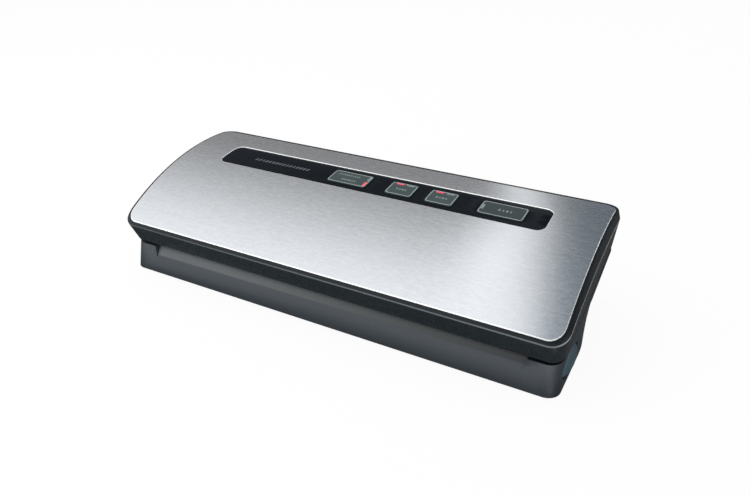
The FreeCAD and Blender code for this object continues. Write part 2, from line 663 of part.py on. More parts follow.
deckTop = -size("partGap") - size("deckSink")
plateTop = size("footDrop") + size("plateThick")
baseScrews = [(x, y) for x in sides(size("baseScrewX")) + [0]
              for y in (size("baseScrewFront"), size("baseScrewRear"))]
hookFoot = deck.multVec(Vector(size("hookX"), size("hookMiddle"), size("noseHeight") - size("hookDrop")))
slideLow = hookFoot.z + size("earGap")
slideMiddle = hookFoot.y - size("swingGap")
slideIn = size("hookX") - size("hookThick") / 2 - size("hookNose") - size("earGap") - size("catchThick")
hinge = deck.multVec(Vector(0, size("hingeAlong"), size("hingeLift")))


def base_form(inset, floor, drop):
    swell = (size("swellStart"), size("swellEnd"))
    low = size("footDrop") - floor
    sink = (size("partGap") + drop) / math.cos(tilt)
    foot = outline(size("baseFrontHalf") - inset, size("baseRearHalf") - inset,
                   inset - size("baseFrontReach"), size("baseRearReach") - inset,
                   size("baseCorner") - inset / 2, lambda y: low, (*swell, True))
    waist = outline(size("waistFrontHalf") - inset, size("waistRearHalf") - inset,
                    inset - size("waistFrontReach"), size("skirtRearReach") - inset,
                    size("waistCorner") - inset / 2, lambda y: skirt_height(y) - sink, (*swell, False))
    return Part.makeLoft([foot, waist], True, True)


def ramp_form(grow):
    wallHeight = skirt_height(-size("waistFrontReach")) - size("footDrop")
    share = (size("rampLow") - size("footDrop")) / wallHeight
    front = (size("baseFrontReach") - size("waistFrontReach")) * share - size("baseFrontReach")
    lift = math.tan(math.radians(size("rampSlope")))
    low = size("rampLow") - grow
    deep = size("rampDepth") + grow
    high = 2 * size("skirtFootHeight")
    side = [(front - deep, low), (front, low), (front + deep, low + deep * lift), (front + deep, high),
            (front - deep, high)]
    wide = size("rampHalf") + grow
    lean = size("rampEndLean") * (high - low) / (size("skirtFootHeight") - size("rampLow"))
    ends = [(-wide, low), (wide, low), (wide + lean, high), (-wide - lean, high)]
    corners = [Vector(x, -size("lidDepth"), z) for x, z in ends]
    wedge = Part.Face(Part.makePolygon(corners + corners[:1])).extrude(Vector(0, size("lidDepth"), 0))
    return prism_x(side, size("lidWidth")).common(wedge)


def trough_form(grow):
    return rounded_block(size("troughLength") + 2 * grow, size("troughDepth") + 2 * grow,
                         size("troughCorner") + grow, 0, size("gasketMiddle"),
                         deckTop - size("troughDrop") - grow, 0, deck)


def bar_seat(grow):
    low = -size("barTopDrop") - size("barHeight") - grow
    return rounded_block(size("barLength") + 2 * grow, size("barDepth") + 2 * grow, size("barCorner") + grow,
                         0, size("barMiddle"), low, 0, deck)


def oval(grow, start, end):
    ring = Part.Ellipse(Vector(), size("buttonLong") + grow, size("buttonTall") + grow).toShape()
    face = Part.Face(Part.Wire(ring))
    turn = FreeCAD.Rotation(Vector(0, 1, 0), Vector(0, 0, 1), Vector(1, 0, 0), "ZXY")
    face.Placement = FreeCAD.Placement(Vector(start, size("hookMiddle"), size("buttonHeight")), turn)
    return face.extrude(Vector(end - start, 0, 0))


def hinge_ears():
    ears = []
    half = size("knuckleLength") / 2 + size("earGap")
    for x in sides(size("hingeX")):
        for start in (x - half - size("earThick"), x + half):
            radius = size("knuckleRadius")
            web = block(start, start + size("earThick"), size("hingeAlong") - radius,
                        size("hingeAlong") + radius / 2, deckTop - size("earGap"), size("hingeLift"), deck)
            ears.append(hinge_bar(radius, start, size("earThick")).fuse(web))
    return ears


def deck_lips():
    rise = size("partGap") + size("lipTop")
    inset = size("deckRim") - size("softGap")
    ring = base_form(inset, 0, -rise).cut(base_form(inset + size("lipThick"), 1, -2 * rise))
    span = block(-size("lidWidth"), size("lidWidth"), size("lipFront"), size("lipRear"),
                 deckTop - size("softGap"), size("lipTop"), deck)
    return ring.common(span)


def sealing_area(grow, low, high):
    gasket = rounded_block(size("gasketLength") + 2 * grow, size("gasketDepth") + 2 * grow,
                           size("gasketCorner") + grow, 0, size("gasketMiddle"), low, high, deck)
    front = size("barMiddle") - size("barDepth") / 2 - grow
    rear = size("gasketMiddle")
    bar = rounded_block(size("barLength") + 2 * grow, rear - front, size("barCorner") + grow, 0,
                        (front + rear) / 2, low, high, deck)
    return gasket.fuse(bar).removeSplitter()


def insert_ledge():
    rear = size("gasketMiddle") + size("gasketDepth") / 2 + size("insertRim")
    half = size("gasketLength") / 2 - size("gasketCorner")
    top = deckTop - size("baseWall")
    return block(-half, half, rear - size("ledgeWidth"), rear + size("ledgeWidth"), top - size("ledgeThick"),
                 top, deck)


def base_mouldings():
    wall = size("baseWall")
    cavity = base_form(wall, 1, size("deckSink") + wall)
    high = skirt_height(size("skirtRearReach"))
    keep = [trough_form(wall), bar_seat(wall), ramp_form(wall)]
    bossLow = plateTop + size("headSink")
    keep += [upright(size("bossRadius"), x, y, bossLow, high) for x, y in baseScrews]
    cavity = cavity.cut(keep)
    recess = base_form(size("deckRim"), 0, 0).common(slab(deckTop, 0, deck))
    tools = [cavity, recess, trough_form(0), bar_seat(size("fitGap")), ramp_form(0)]
    tools.append(gasket_loop(size("fitGap"), deckTop - size("grooveDepth"), 0))
    half = size("hookNose") / 2 + size("hookThick") / 2 + size("swingGap")
    slotMiddle = size("hookX") - size("hookNose") / 2
    slot = block(slotMiddle - half, slotMiddle + half, size("hookMiddle") - size("slotFrontRoom"),
                 size("hookMiddle") + size("slotRearRoom"),
                 deckTop - 2 * wall, 0, deck)
    tools += both_sides(slot)
    tools += both_sides(oval(size("buttonGap"), size("flangeX"), size("lidWidth")))
    bore = size("screwRadius") + size("pinFit")
    depth = size("screwLength") + size("boreSpare")
    tools += [upright(bore, x, y, bossLow, plateTop + depth) for x, y in baseScrews]
    glandHole = size("glandBore") + size("glandWall") + size("pinFit")
    glandStart = Vector(size("glandX"), size("baseRearReach") - 2 * wall, size("glandHeight"))
    tools.append(Part.makeCylinder(glandHole, 4 * wall, glandStart, Vector(0, 1, 0)))
    tools.append(nozzle_bar(size("nozzleRadius") + size("pinFit")))
    swing = size("knuckleLength") / 2 + size("earGap")
    clear = size("knuckleRadius") + size("swingGap")
    tools += [hinge_bar(clear, x - swing, 2 * swing) for x in sides(size("hingeX"))]
    form = base_form(0, 0, 0).cut(tools)
    low = deckTop - size("troughDrop") - 2 * wall
    insert = form.common(sealing_area(size("insertRim"), low, 0))
    shell = form.cut(sealing_area(size("insertRim") + size("fitGap"), low, 0))
    pins = [hinge_bar(size("pinRadius") + size("pinFit"), -size("lidWidth"), 2 * size("lidWidth"))]
    return shell.fuse([deck_lips(), insert_ledge()] + hinge_ears()).cut(pins), insert


def nozzle_bar(radius):
    wallFace = size("gasketMiddle") + size("troughDepth") / 2
    rear = deck.multVec(Vector(0, wallFace, deckTop - size("troughDrop") / 2)).y
    start = Vector(size("nozzleX"), rear - size("nozzleReach") / 2, size("hoseHeight"))
    return Part.makeCylinder(radius, size("nozzleReach") + size("nozzleLength"), start, Vector(0, 1, 0))


def base_plate():
    form = base_form(size("baseWall") + size("plateGap"), 0, 0)
    plate = form.common(slab(size("footDrop"), plateTop, FreeCAD.Placement()))
    padRadius = size("bossRadius") + size("seatThick")
    adds = [upright(padRadius, x, y, plateTop, plateTop + size("headSink")) for x, y in baseScrews]
    rail = size("slideRail")
    near = size("hookX") - size("hookNose")
    far = size("flangeX") - size("buttonTravel") - size("softGap")
    for edge in (slideMiddle - size("slideWindow") / 2 - rail, slideMiddle + size("slideWindow") / 2):
        adds += both_sides(block(near, far, edge, edge + rail, size("footDrop"), slideLow - size("earGap")))
    seatIn = slideIn - size("springLength") - size("seatThick")
    half = 2 * size("springRadius")
    adds += both_sides(block(seatIn, seatIn + size("seatThick"), slideMiddle - half, slideMiddle + half,
                             size("footDrop"), slideLow + size("slideHeight")))
    posts = [(size("powerX") + x, size("powerY") + y)
             for x in sides(size("powerLength") / 2 - size("postRadius"))
             for y in sides(size("powerDepth") / 2 - size("postRadius"))]
    adds += [upright(size("postRadius"), x, y, plateTop, plateTop + size("postHeight")) for x, y in posts]
    cuts = []
    for x, y in baseScrews:
        cuts.append(upright(size("screwHeadRadius") + size("screwPlay"), x, y, 0,
                            size("footDrop") + size("screwHeadHeight")))
        cuts.append(upright(size("screwRadius") + size("screwPlay"), x, y, 0, 2 * plateTop))
    for number in range(int(size("ventCount"))):
        offset = (number - (size("ventCount") - 1) / 2) * size("ventPitch")
        cuts.append(rounded_block(size("ventWidth"), size("ventLength"), size("ventWidth") / 2.1,
                                  size("ventX") + offset, size("pumpY"), 0, 2 * plateTop))
    return plate.fuse(adds).cut(cuts)


housing, insert = base_mouldings()
sub_part("base_housing", solid(housing))
sub_part("sealing_deck", solid(insert))
sub_part("base_plate", solid(base_plate()))

# Sealing bar, gasket and what fastens the base

sub_part("lower_gasket", pad("gasketLength", "gasketDepth", "gasketCorner",
                             "partGap + deckSink + grooveDepth - softGap", "0", "gasketMiddle",
                             "-partGap - deckSink - grooveDepth", gasketHole), deck)
sub_part("heater_bar", pad("barLength", "barDepth", "barCorner", "barHeight", "0", "barMiddle",
                           "-barTopDrop - barHeight"), deck)
sub_part("heating_ribbon", pad("barLength - 2 * ribbonWidth", "ribbonWidth", "ribbonWidth / 4", "ribbonThick",
                               "0", "barMiddle", "-barTopDrop"), deck)
sub_part("ptfe_tape", pad("barLength", "barDepth", "barCorner", "tapeThick", "0", "barMiddle",
                          "ribbonThick - barTopDrop"), deck)


def rubber_foot(x, y):
    foot = doc.addObject("Part::Cone", "Foot")
    bind(foot, {"Radius1": "footRadius - footTaper", "Radius2": "footRadius", "Height": "footDrop"})
    return at(foot, f"{x} * footX", y, "0")


sub_part("rubber_feet", group(*[rubber_foot(x, y) for x in (-1, 1) for y in ("footFront", "footRear")]))
sub_part("base_screws", group(*[screw(str(x), str(y), "(footDrop + screwHeadHeight)", "screwLength")
                                for x, y in baseScrews]))


def hinge_pin(x):
    reach = "(knuckleLength / 2 + earGap + earThick)"
    return rod("pinRadius", f"2 * {reach}", f"{x} * hingeX - {reach}", "hingeAlong", "hingeLift", "x")


sub_part("hinge_pins", group(hinge_pin(-1), hinge_pin(1)), deck)


def cord_gland():
    outer = "glandBore + glandWall"
    slope = "(skirtRearReach - baseRearReach) / (skirtFootHeight + skirtRearReach / 4 - footDrop)"
    wallFace = f"(baseRearReach + {slope} * (glandHeight + {outer} + glandFlange - footDrop))"
    sleeve = rod(outer, "glandDepth", "glandX", f"{wallFace} - glandDepth", "glandHeight", "y")
    flange = rod(f"{outer} + glandFlange", "glandFlangeThick", "glandX", wallFace, "glandHeight", "y")
    bore = rod("glandBore", "4 * glandDepth", "glandX", f"{wallFace} - 2 * glandDepth", "glandHeight", "y")
    return cut(fuse(sleeve, flange), bore)


sub_part("cord_gland", cord_gland())

# Release buttons, each with its slide and return spring


def release_button():
    start = size("flangeX") + size("flangeThick")
    tip = size("buttonReach")
    neck = tip - size("buttonDome")
    tall = size("buttonTall")
    curve = Part.Ellipse(Vector(neck, tall, 0), Vector(tip, 0, 0), Vector(neck, 0, 0))
    ends = [Vector(tip, 0, 0), Vector(start, 0, 0), Vector(start, tall, 0), Vector(neck, tall, 0)]
    lines = Part.makePolygon(ends).Edges
    nose = Part.ArcOfEllipse(curve, 0, math.pi / 2).toShape()
    turned = Part.Face(Part.Wire(lines + [nose])).revolve(Vector(), Vector(1, 0, 0), 360)
    stretch = FreeCAD.Matrix()
    stretch.scale(1, size("buttonLong") / tall, 1)
    turned = turned.transformGeometry(stretch)
    turned.translate(Vector(0, size("hookMiddle"), size("buttonHeight")))
    return turned


def release_slide():
    rail = size("slideRail")
    half = size("slideWindow") / 2
    top = slideLow + size("slideHeight")
    flange = oval(size("buttonFlange"), size("flangeX"), size("flangeX") + size("flangeThick"))
    low = size("buttonHeight") - size("flangeTall")
    flange = flange.common(slab(low, low + 2 * size("flangeTall"), FreeCAD.Placement()))
    frame = block(slideIn, size("flangeX"), slideMiddle - half - rail, slideMiddle + half + rail,
                  slideLow, top)
    window = block(slideIn + size("catchThick"), size("flangeX"), slideMiddle - half, slideMiddle + half,
                   0, 2 * top)
    return flange.fuse(frame.cut(window)).removeSplitter()


def release_spring():
    radius = size("springRadius")
    wire = size("springWire") / 2
    length = size("springLength") - 2 * wire
    path = Part.makeHelix(length / size("springTurns"), length, radius - wire)
    circle = Part.Wire(Part.makeCircle(wire, Vector(radius - wire, 0, 0), Vector(0, 1, 0)))
    coil = Part.Wire(path).makePipeShell([circle], True, True)
    start = Vector(slideIn - size("springLength") + wire, slideMiddle, slideLow + size("slideHeight") / 2)
    coil.Placement = FreeCAD.Placement(start, FreeCAD.Rotation(Vector(0, 1, 0), 90))
    return coil


for make in (release_button, release_slide, release_spring):
    right = make()
    sub_part(f"{make.__name__}_right", solid(right))
    sub_part(f"{make.__name__}_left", solid(right.mirror(Vector(), Vector(1, 0, 0))))

# Pump: motor, crankcase with its eccentric, wobble plate, diaphragm and head

shaftLine = ("pumpY", "pumpHeight", "x")


def turned_x(radius, length, start):
    return rod(radius, length, f"pumpX + {start}", *shaftLine)


def pump_motor():
    can = turned_x("motorRadius", "motorLength", "0")
    bearing = turned_x("3 * shaftRadius", "pumpWall", "motorLength")
    bore = turned_x("shaftRadius + pinPlay", "motorLength / 2", "(-1)")
    return cut(fuse(can, bearing), bore)


def pump_housing():
    cup = turned_x("crankcaseRadius", "crankcaseLength", "(-crankcaseLength)")
    room = turned_x("crankcaseRadius - pumpWall", "crankcaseLength", "(-crankcaseLength - pumpWall)")
    bore = turned_x("2 * shaftRadius", "crankcaseLength", "(-crankcaseLength / 2)")
    return cut(cup, room, bore)


def pump_eccentric():
    drumStart = "(-pumpWall - drumGap - drumLength)"
    shaft = turned_x("shaftRadius", "pumpWall + drumGap + motorLength / 3 + drumLength", drumStart)
    drum = turned_x("drumRadius", "drumLength", drumStart)
    pin = rod("crankPinRadius", "crankPinLength + drumLength / 2",
              f"pumpX + {drumStart} - crankPinLength", "pumpY", "pumpHeight + crankOffset", "x")
    return fuse(shaft, drum, pin)


def wobble_plate():
    disc = turned_x("wobbleRadius", "wobbleThick", "(-crankcaseLength)")
    socket = turned_x("crankOffset + crankPinRadius + softGap", "4 * wobbleThick",
                      "(-crankcaseLength - wobbleThick)")
    return cut(disc, socket)


def pump_diaphragm():
    return group(turned_x("crankcaseRadius", "diaphragmThick", "(-crankcaseLength - diaphragmThick)"))


def pump_head():
    start = "(-crankcaseLength - diaphragmThick - headLength)"
    disc = turned_x("crankcaseRadius", "headLength", start)
    tip = f"pumpX + {start} - nozzleLength"
    inlet = rod("nozzleRadius", "nozzleLength + headLength / 2", tip, "pumpY", "hoseHeight", "x")
    bore = rod("nozzleBore", "nozzleLength + headLength / 2", tip, "pumpY", "hoseHeight", "x")
    return cut(fuse(disc, inlet), bore)


def pump_bracket():
    saddle = box("cradleLength", "cradleDepth", "cradleHeight", "pumpX + motorLength / 2", "pumpY",
                 "footDrop + plateThick")
    return cut(saddle, turned_x("motorRadius", "2 * motorLength", "(-motorLength / 2)"))


for make in (pump_motor, pump_housing, pump_eccentric, wobble_plate, pump_diaphragm, pump_head, pump_bracket):
    sub_part(make.__name__, make())


def suction_nozzle():
    tube = nozzle_bar(size("nozzleRadius"))
    return tube.cut(nozzle_bar(size("nozzleBore")))


def vacuum_hose():
    fitting = nozzle_bar(1).BoundBox
    sleeve = size("nozzleLength") - size("hoseWall")
    start = Vector(size("nozzleX"), fitting.YMax - sleeve, size("hoseHeight"))
    headX = size("pumpX") - size("crankcaseLength") - size("diaphragmThick") - size("headLength")
    bend = size("hoseBend")
    turnStart = Vector(size("nozzleX"), size("pumpY") - bend, size("hoseHeight"))
    turnEnd = Vector(size("nozzleX") + bend, size("pumpY"), size("hoseHeight"))
    diagonal = bend * (1 - math.sqrt(0.5))
    turnMiddle = Vector(size("nozzleX") + diagonal, size("pumpY") - diagonal, size("hoseHeight"))
    end = Vector(headX - size("hoseWall"), size("pumpY"), size("hoseHeight"))
    runs = [Part.LineSegment(start, turnStart), Part.Arc(turnStart, turnMiddle, turnEnd),
            Part.LineSegment(turnEnd, end)]
    path = Part.Wire([run.toShape() for run in runs])
    inner = size("nozzleRadius") + size("hoseGap")
    tubes = []
    for radius in (inner + size("hoseWall"), inner):
        section = Part.Wire(Part.makeCircle(radius, start, Vector(0, 1, 0)))
        tubes.append(path.makePipeShell([section], True, True))
    return tubes[0].cut(tubes[1])


sub_part("suction_nozzle", solid(suction_nozzle()))
sub_part("vacuum_hose", solid(vacuum_hose()))

# Power parts on the base plate

plateLevel = "(footDrop + plateThick)"
coreLeg = "(coreLength - 2 * coreWindow - 2 * coreYoke)"


def core_windows():
    offset = f"({coreLeg} + coreWindow) / 2"
    return [box("coreWindow", "4 * coreDepth", "coreHeight - 2 * coreYoke",
                f"transformerX + {side} * {offset}", "transformerY", f"{plateLevel} + coreYoke")
            for side in (-1, 1)]


def transformer_core():
    return cut(box("coreLength", "coreDepth", "coreHeight", "transformerX", "transformerY", plateLevel),
               *core_windows())


def transformer_coil():
    play = "2 * pinPlay"
    blank = pad(f"{coreLeg} + 2 * coreWindow - 2 * {play}", "coreDepth + 2 * coilOverhang", "coreWindow / 2",
                f"coreHeight - 2 * coreYoke - 2 * {play}", "transformerX", "transformerY",
                f"{plateLevel} + coreYoke + {play}")
    leg = box(f"{coreLeg} + 2 * {play}", f"coreDepth + 2 * {play}", "2 * coreHeight", "transformerX",
              "transformerY", "0")
    return cut(blank, leg)


def power_board():
    level = f"{plateLevel} + postHeight"
    board = pad("powerLength", "powerDepth", "boardCorner", "boardThick", "powerX", "powerY", level)
    top = f"{level} + boardThick"
    relay = box("relayLength", "relayWidth", "relayHeight", "powerX + powerLength / 4", "powerY", top)
    cans = [rod("capacitorRadius", "capacitorHeight", f"powerX - {place} * capacitorPitch", "powerY", top)
            for place in (0, 1)]
    return group(board, relay, *cans)


def lid_switch():
    side = "(-hookX)"
    level = slideLow + size("slideHeight") + size("softGap") + size("plungerRadius") + size("softGap")
    along = size("hookMiddle") + size("hookWidth") / 2
    drop = (level - deck.Base.z - along * math.sin(tilt)) / math.cos(tilt)
    tip = along * math.cos(tilt) - drop * math.sin(tilt) + size("switchGap")
    front = slideMiddle + size("slideWindow") / 2 + size("slideRail") + size("softGap")
    case = box("switchWidth", "switchLong", "switchTall", side, f"{front} + switchLong / 2", plateLevel)
    plunger = rod("plungerRadius", f"{front} - {tip} + switchLong / 2", side, str(tip), str(level), "y")
    return fuse(case, plunger)


for make in (transformer_core, transformer_coil, power_board, lid_switch):
    sub_part(make.__name__, make())


doc.recompute()
failed = [item.Label for item in doc.Objects if {"Invalid", "Error"} & set(item.State)]
if failed:
    raise RuntimeError(f"failed: {failed}")
os.makedirs("parts", exist_ok=True)
for item in subParts:
    if item.Shape.isNull() or not item.Shape.isValid():
        raise RuntimeError(f"bad shape: {item.Label}")
    item.Shape.exportStep(f"parts/{item.Label}.step")
    print(item.Label, len(item.Shape.Solids), round(item.Shape.Volume), item.Shape.BoundBox)
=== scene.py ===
import json
import math
import bmesh
import bpy
from mathutils import Matrix, Vector


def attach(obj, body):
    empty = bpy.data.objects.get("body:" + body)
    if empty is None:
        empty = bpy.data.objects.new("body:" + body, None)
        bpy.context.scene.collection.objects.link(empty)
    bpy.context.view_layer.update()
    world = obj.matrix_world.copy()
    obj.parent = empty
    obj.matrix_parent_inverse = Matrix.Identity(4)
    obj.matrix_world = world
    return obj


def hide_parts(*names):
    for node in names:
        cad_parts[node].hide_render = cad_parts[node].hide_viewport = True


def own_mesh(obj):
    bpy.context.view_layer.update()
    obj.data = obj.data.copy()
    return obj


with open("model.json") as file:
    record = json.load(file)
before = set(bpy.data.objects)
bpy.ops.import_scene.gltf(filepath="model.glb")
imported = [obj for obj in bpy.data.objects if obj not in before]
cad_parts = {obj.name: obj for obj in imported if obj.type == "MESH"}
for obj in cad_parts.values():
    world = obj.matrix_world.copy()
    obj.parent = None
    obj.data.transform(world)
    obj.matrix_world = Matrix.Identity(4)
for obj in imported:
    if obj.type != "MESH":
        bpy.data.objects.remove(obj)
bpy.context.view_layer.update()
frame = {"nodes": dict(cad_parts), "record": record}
nodes = frame["nodes"]
scene = bpy.context.scene
mm = 0.001
print("frame loaded:", len(nodes), "nodes")


# small tools

def tone(code):  # sRGB hex to linear
    shares = [int(code[i:i + 2], 16) / 255 for i in (0, 2, 4)]
    return [s / 12.92 if s <= 0.04045 else ((s + 0.055) / 1.055) ** 2.4 for s in shares] + [1]


def tones(codes):
    return [tone(code) for code in codes]


def inMetres(lengths):
    return [length * mm for length in lengths]


fromSpan, toSpan, shadePair = ("From Min", "From Max"), ("To Min", "To Max"), (6, 7)  # inputs set in pairs


def feed(tree, node, inputs):  # sets or links inputs; a node stands for its first output in use
    for name, value in inputs.items():
        if isinstance(name, tuple):
            feed(tree, node, dict(zip(name, value)))
            continue
        if isinstance(value, bpy.types.Node):
            value = next(output for output in value.outputs if output.enabled)
        if isinstance(value, bpy.types.NodeSocket):
            tree.links.new(value, node.inputs[name])
        else:
            node.inputs[name].default_value = value
    return node


shaderPrefix = "ShaderNode"  # left out of the kinds below


def add(tree, kind, inputs=None, **settings):  # one node, with its settings and links
    node = tree.nodes.new(kind if "Node" in kind else f"{shaderPrefix}{kind}")
    for name, value in settings.items():
        setattr(node, name, value)
    return feed(tree, node, inputs or {})


def axes(tree, kind="Object"):  # x, y and z of the point's place, or of the way that its surface faces
    place = add(tree, "TexCoord")
    return add(tree, "SeparateXYZ", {0: place.outputs[kind]}).outputs


def blank(name, sockets):  # a material with constants on its shader's sockets
    material = bpy.data.materials.new(name)
    material.use_nodes = True
    tree = material.node_tree
    return material, tree, feed(tree, tree.nodes["Principled BSDF"], sockets)


noiseShape = {"detail": 4.0, "roughness": 0.6, "range": (0.3, 0.7)}


def mottled(name, shades, grain, rough, relief, sockets=None):  # grain and relief in millimetres
    material, tree, shader = blank(name, sockets or {})
    place = add(tree, "TexCoord")
    noise = add(tree, "TexNoise", {
        "Vector": place.outputs["Object"], "Scale": 1 / (grain * mm), "Detail": noiseShape["detail"],
        "Roughness": noiseShape["roughness"]})
    share = add(tree, "MapRange", {"Value": noise, fromSpan: noiseShape["range"]})
    blend = add(tree, "Mix", {0: share, shadePair: tones(shades)}, data_type="RGBA")
    sheen = add(tree, "MapRange", {"Value": share, toSpan: rough})
    feed(tree, shader, {"Base Color": blend, "Roughness": sheen})
    if relief:
        bump = add(tree, "Bump", {"Height": noise, "Distance": relief * mm, "Strength": 1.0})
        feed(tree, shader, {"Normal": bump})
    return material, tree, shader


def tint(tree, shader, share, shade):  # mixes the base colour so far with another
    base = shader.inputs["Base Color"].links[0].from_socket
    blend = add(tree, "Mix", {0: share, 6: base, 7: shade}, data_type="RGBA")
    feed(tree, shader, {"Base Color": blend})


def ridden(thing, body, slot):
    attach(thing, body)
    return thing


def shaded(data, angle):  # smooth, apart from edges sharper than an angle or marked before
    marked = [edge.index for edge in data.edges if edge.use_edge_sharp]
    data.shade_smooth()
    data.set_sharp_from_angle(angle=math.radians(angle))
    for index in marked:
        data.edges[index].use_edge_sharp = True


def placed(name, data):
    thing = bpy.data.objects.new(name, data)
    scene.collection.objects.link(thing)
    return thing


def baked(name, mesh):  # bmesh to mesh data
    data = bpy.data.meshes.new(name)
    mesh.to_mesh(data)
    mesh.free()
    return data


slotOf = {part["node"]: part["material_slot"] for part in frame["record"]["subparts"]}


def piece(name, mesh, node, body, angle):  # bmesh in millimetres to a finished object in a node's place
    bmesh.ops.recalc_face_normals(mesh, faces=mesh.faces[:])
    bmesh.ops.scale(mesh, vec=(mm, mm, mm), verts=mesh.verts[:])
    data = baked(name, mesh)
    shaded(data, angle)
    data.materials.append(looks[slotOf[node]])
    thing = ridden(placed(name, data), body, slotOf[node])
    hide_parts(node)
    return thing


# materials

brushing = {  # each kind of mark: its size in mm, stretch along X, detail and roughness
    "lines": (0.5, 0.02, 5.0, 0.7), "patches": (1.6, 0.3, 3.0, 0.5),
    "range": (0.7, 1.3), "shades": ("c3c6cb", "d3d6d9"), "rough": (0.25, 0.3),
    # the sheared edge's painted highlight: a near-white shade and a lower metallic share
    "relief": 0.01, "reliefShare": 0.4, "edgeHighlightShade": "fbfcfc", "edgeHighlightMetal": 0.6,
}


def brushedStainless():  # cold-rolled sheet, brushed along X: streaks along the grain, glare across it
    material, tree, shader = blank("brushedStainless", {"Metallic": 1.0, "Anisotropic": 0.93})
    place = add(tree, "TexCoord")
    marks = []
    for kind in ("lines", "patches"):  # real lines are 0.05 mm wide, drawn ten times as wide to show
        size, stretch, detail, roughness = brushing[kind]
        drawn = add(tree, "Mapping", {"Vector": place.outputs["Object"], "Scale": (stretch, 1, 1)})
        marks.append(add(tree, "TexNoise", {
            "Vector": drawn, "Scale": 1 / (size * mm), "Detail": detail, "Roughness": roughness}))
    both = add(tree, "Math", {0: marks[0], 1: marks[1]})
    share = add(tree, "MapRange", {"Value": both, fromSpan: brushing["range"]})
    blend = add(tree, "Mix", {0: share, shadePair: tones(brushing["shades"])}, data_type="RGBA")
    rough = add(tree, "MapRange", {"Value": share, toSpan: brushing["rough"]})
    # painted highlight on the sheared edge: painted near-white and less metallic
    edge = add(tree, "Attribute", attribute_name="paintedHighlight").outputs["Fac"]
    highlightMetal = add(tree, "MapRange", {"Value": edge, toSpan: (1.0, brushing["edgeHighlightMetal"])})
    grain = add(tree, "Tangent", direction_type="UV_MAP", uv_map="across")
    bump = add(tree, "Bump", {"Height": marks[0], "Distance": brushing["relief"] * mm,
                              "Strength": brushing["reliefShare"]})
    feed(tree, shader, {"Base Color": blend, "Roughness": rough, "Metallic": highlightMetal, "Tangent": grain,
                        "Normal": bump})
    tint(tree, shader, edge, tone(brushing["edgeHighlightShade"]))
    return material


rimPaintedLight = {"level": (0.3, 0.8), "share": 0.65, "shade": "07090b",  # painted shade on faces turned up: how far up they face, how much darker they are painted
             # painted highlight along the crest: its shades from left to right, and a paler end
             "line": ("4c5256", "757b7f"), "lineSpan": (-190, 190), "end": (183, 189), "endShade": "b4b9bc"}


def polishedAbs():  # black ABS from a polished mould: deep, slightly wavy gloss, with a painted highlight along the crest and painted shade on faces turned up
    material, tree, shader = mottled("polishedAbs", ("20262a", "252b2e"), 6, (0.24, 0.32), 0.002,
                                     {"Specular IOR Level": 0.26, "IOR": 1.4})
    # painted shade: faces turned up, as on the rim round the steel, are painted darker than the skirt
    paintedShadeUp = add(tree, "MapRange", {"Value": axes(tree, "Normal")[2], fromSpan: rimPaintedLight["level"],
                                   "To Max": rimPaintedLight["share"]})
    tint(tree, shader, paintedShadeUp, tone(rimPaintedLight["shade"]))
    # painted highlight along the crest: paler towards the right and palest round that end
    along = axes(tree)[0]
    highlightAlong = add(tree, "MapRange", {"Value": along, fromSpan: inMetres(rimPaintedLight["lineSpan"])})
    line = add(tree, "Mix", {0: highlightAlong, shadePair: tones(rimPaintedLight["line"])}, data_type="RGBA")
    end = add(tree, "MapRange", {"Value": along, fromSpan: inMetres(rimPaintedLight["end"])})
    paintedPale = add(tree, "Mix", {0: end, 6: line, 7: tone(rimPaintedLight["endShade"])}, data_type="RGBA")
    edge = add(tree, "Attribute", attribute_name="paintedHighlight")
    tint(tree, shader, edge.outputs["Fac"], paintedPale)
    return material


housingPaintedLight = {"foot": (2, 17), "footShare": 0.62, "footShade": "1b2127",  # painted shade towards the foot, painted light on the ramp, painted shadow on the ledge; heights in mm
               "rampForward": -0.4, "rampUp": 0.5, "rampLight": (170, -100), "shades": ("1d2225", "525759"),
               "ledgeUp": 0.9, "ledgeFront": -55, "ledgeShade": "14181a"}


def texturedAbs():  # dark grey ABS from a spark-eroded mould: fine even grain, soft sheen
    material, tree, shader = mottled("texturedAbs", ("2e353b", "383f46"), 0.9, (0.34, 0.44), 0.012)
    spot, facing = axes(tree), axes(tree, "Normal")
    # painted shade: the walls are painted darker towards the foot
    foot = add(tree, "MapRange", {"Value": spot[2], fromSpan: inMetres(housingPaintedLight["foot"]),
                                  toSpan: (housingPaintedLight["footShare"], 0.0)})
    tint(tree, shader, foot, tone(housingPaintedLight["footShade"]))
    # painted light: the bag ramp is painted paler, most towards the left and darker to the right
    rampLight = add(tree, "MapRange", {"Value": spot[0], fromSpan: inMetres(housingPaintedLight["rampLight"])})
    paintedPale = add(tree, "Mix", {0: rampLight, shadePair: tones(housingPaintedLight["shades"])}, data_type="RGBA")
    ramp = (("LESS_THAN", facing[1], housingPaintedLight["rampForward"]),
            ("GREATER_THAN", facing[2], housingPaintedLight["rampUp"]))
    # painted shadow: the ledge that the lid's skirt covers is painted darker
    ledgeShadow = (("LESS_THAN", spot[1], housingPaintedLight["ledgeFront"] * mm),
             ("GREATER_THAN", facing[2], housingPaintedLight["ledgeUp"]))
    for tests, shade in ((ramp, paintedPale), (ledgeShadow, tone(housingPaintedLight["ledgeShade"]))):
        one, two = (add(tree, "Math", {0: value, 1: limit}, operation=test)
                    for test, value, limit in tests)
        tint(tree, shader, add(tree, "Math", {0: one, 1: two}, operation="MULTIPLY"), shade)
    return material


lastKey = {"from": 85, "share": 0.6, "shade": "1d2a2c"}


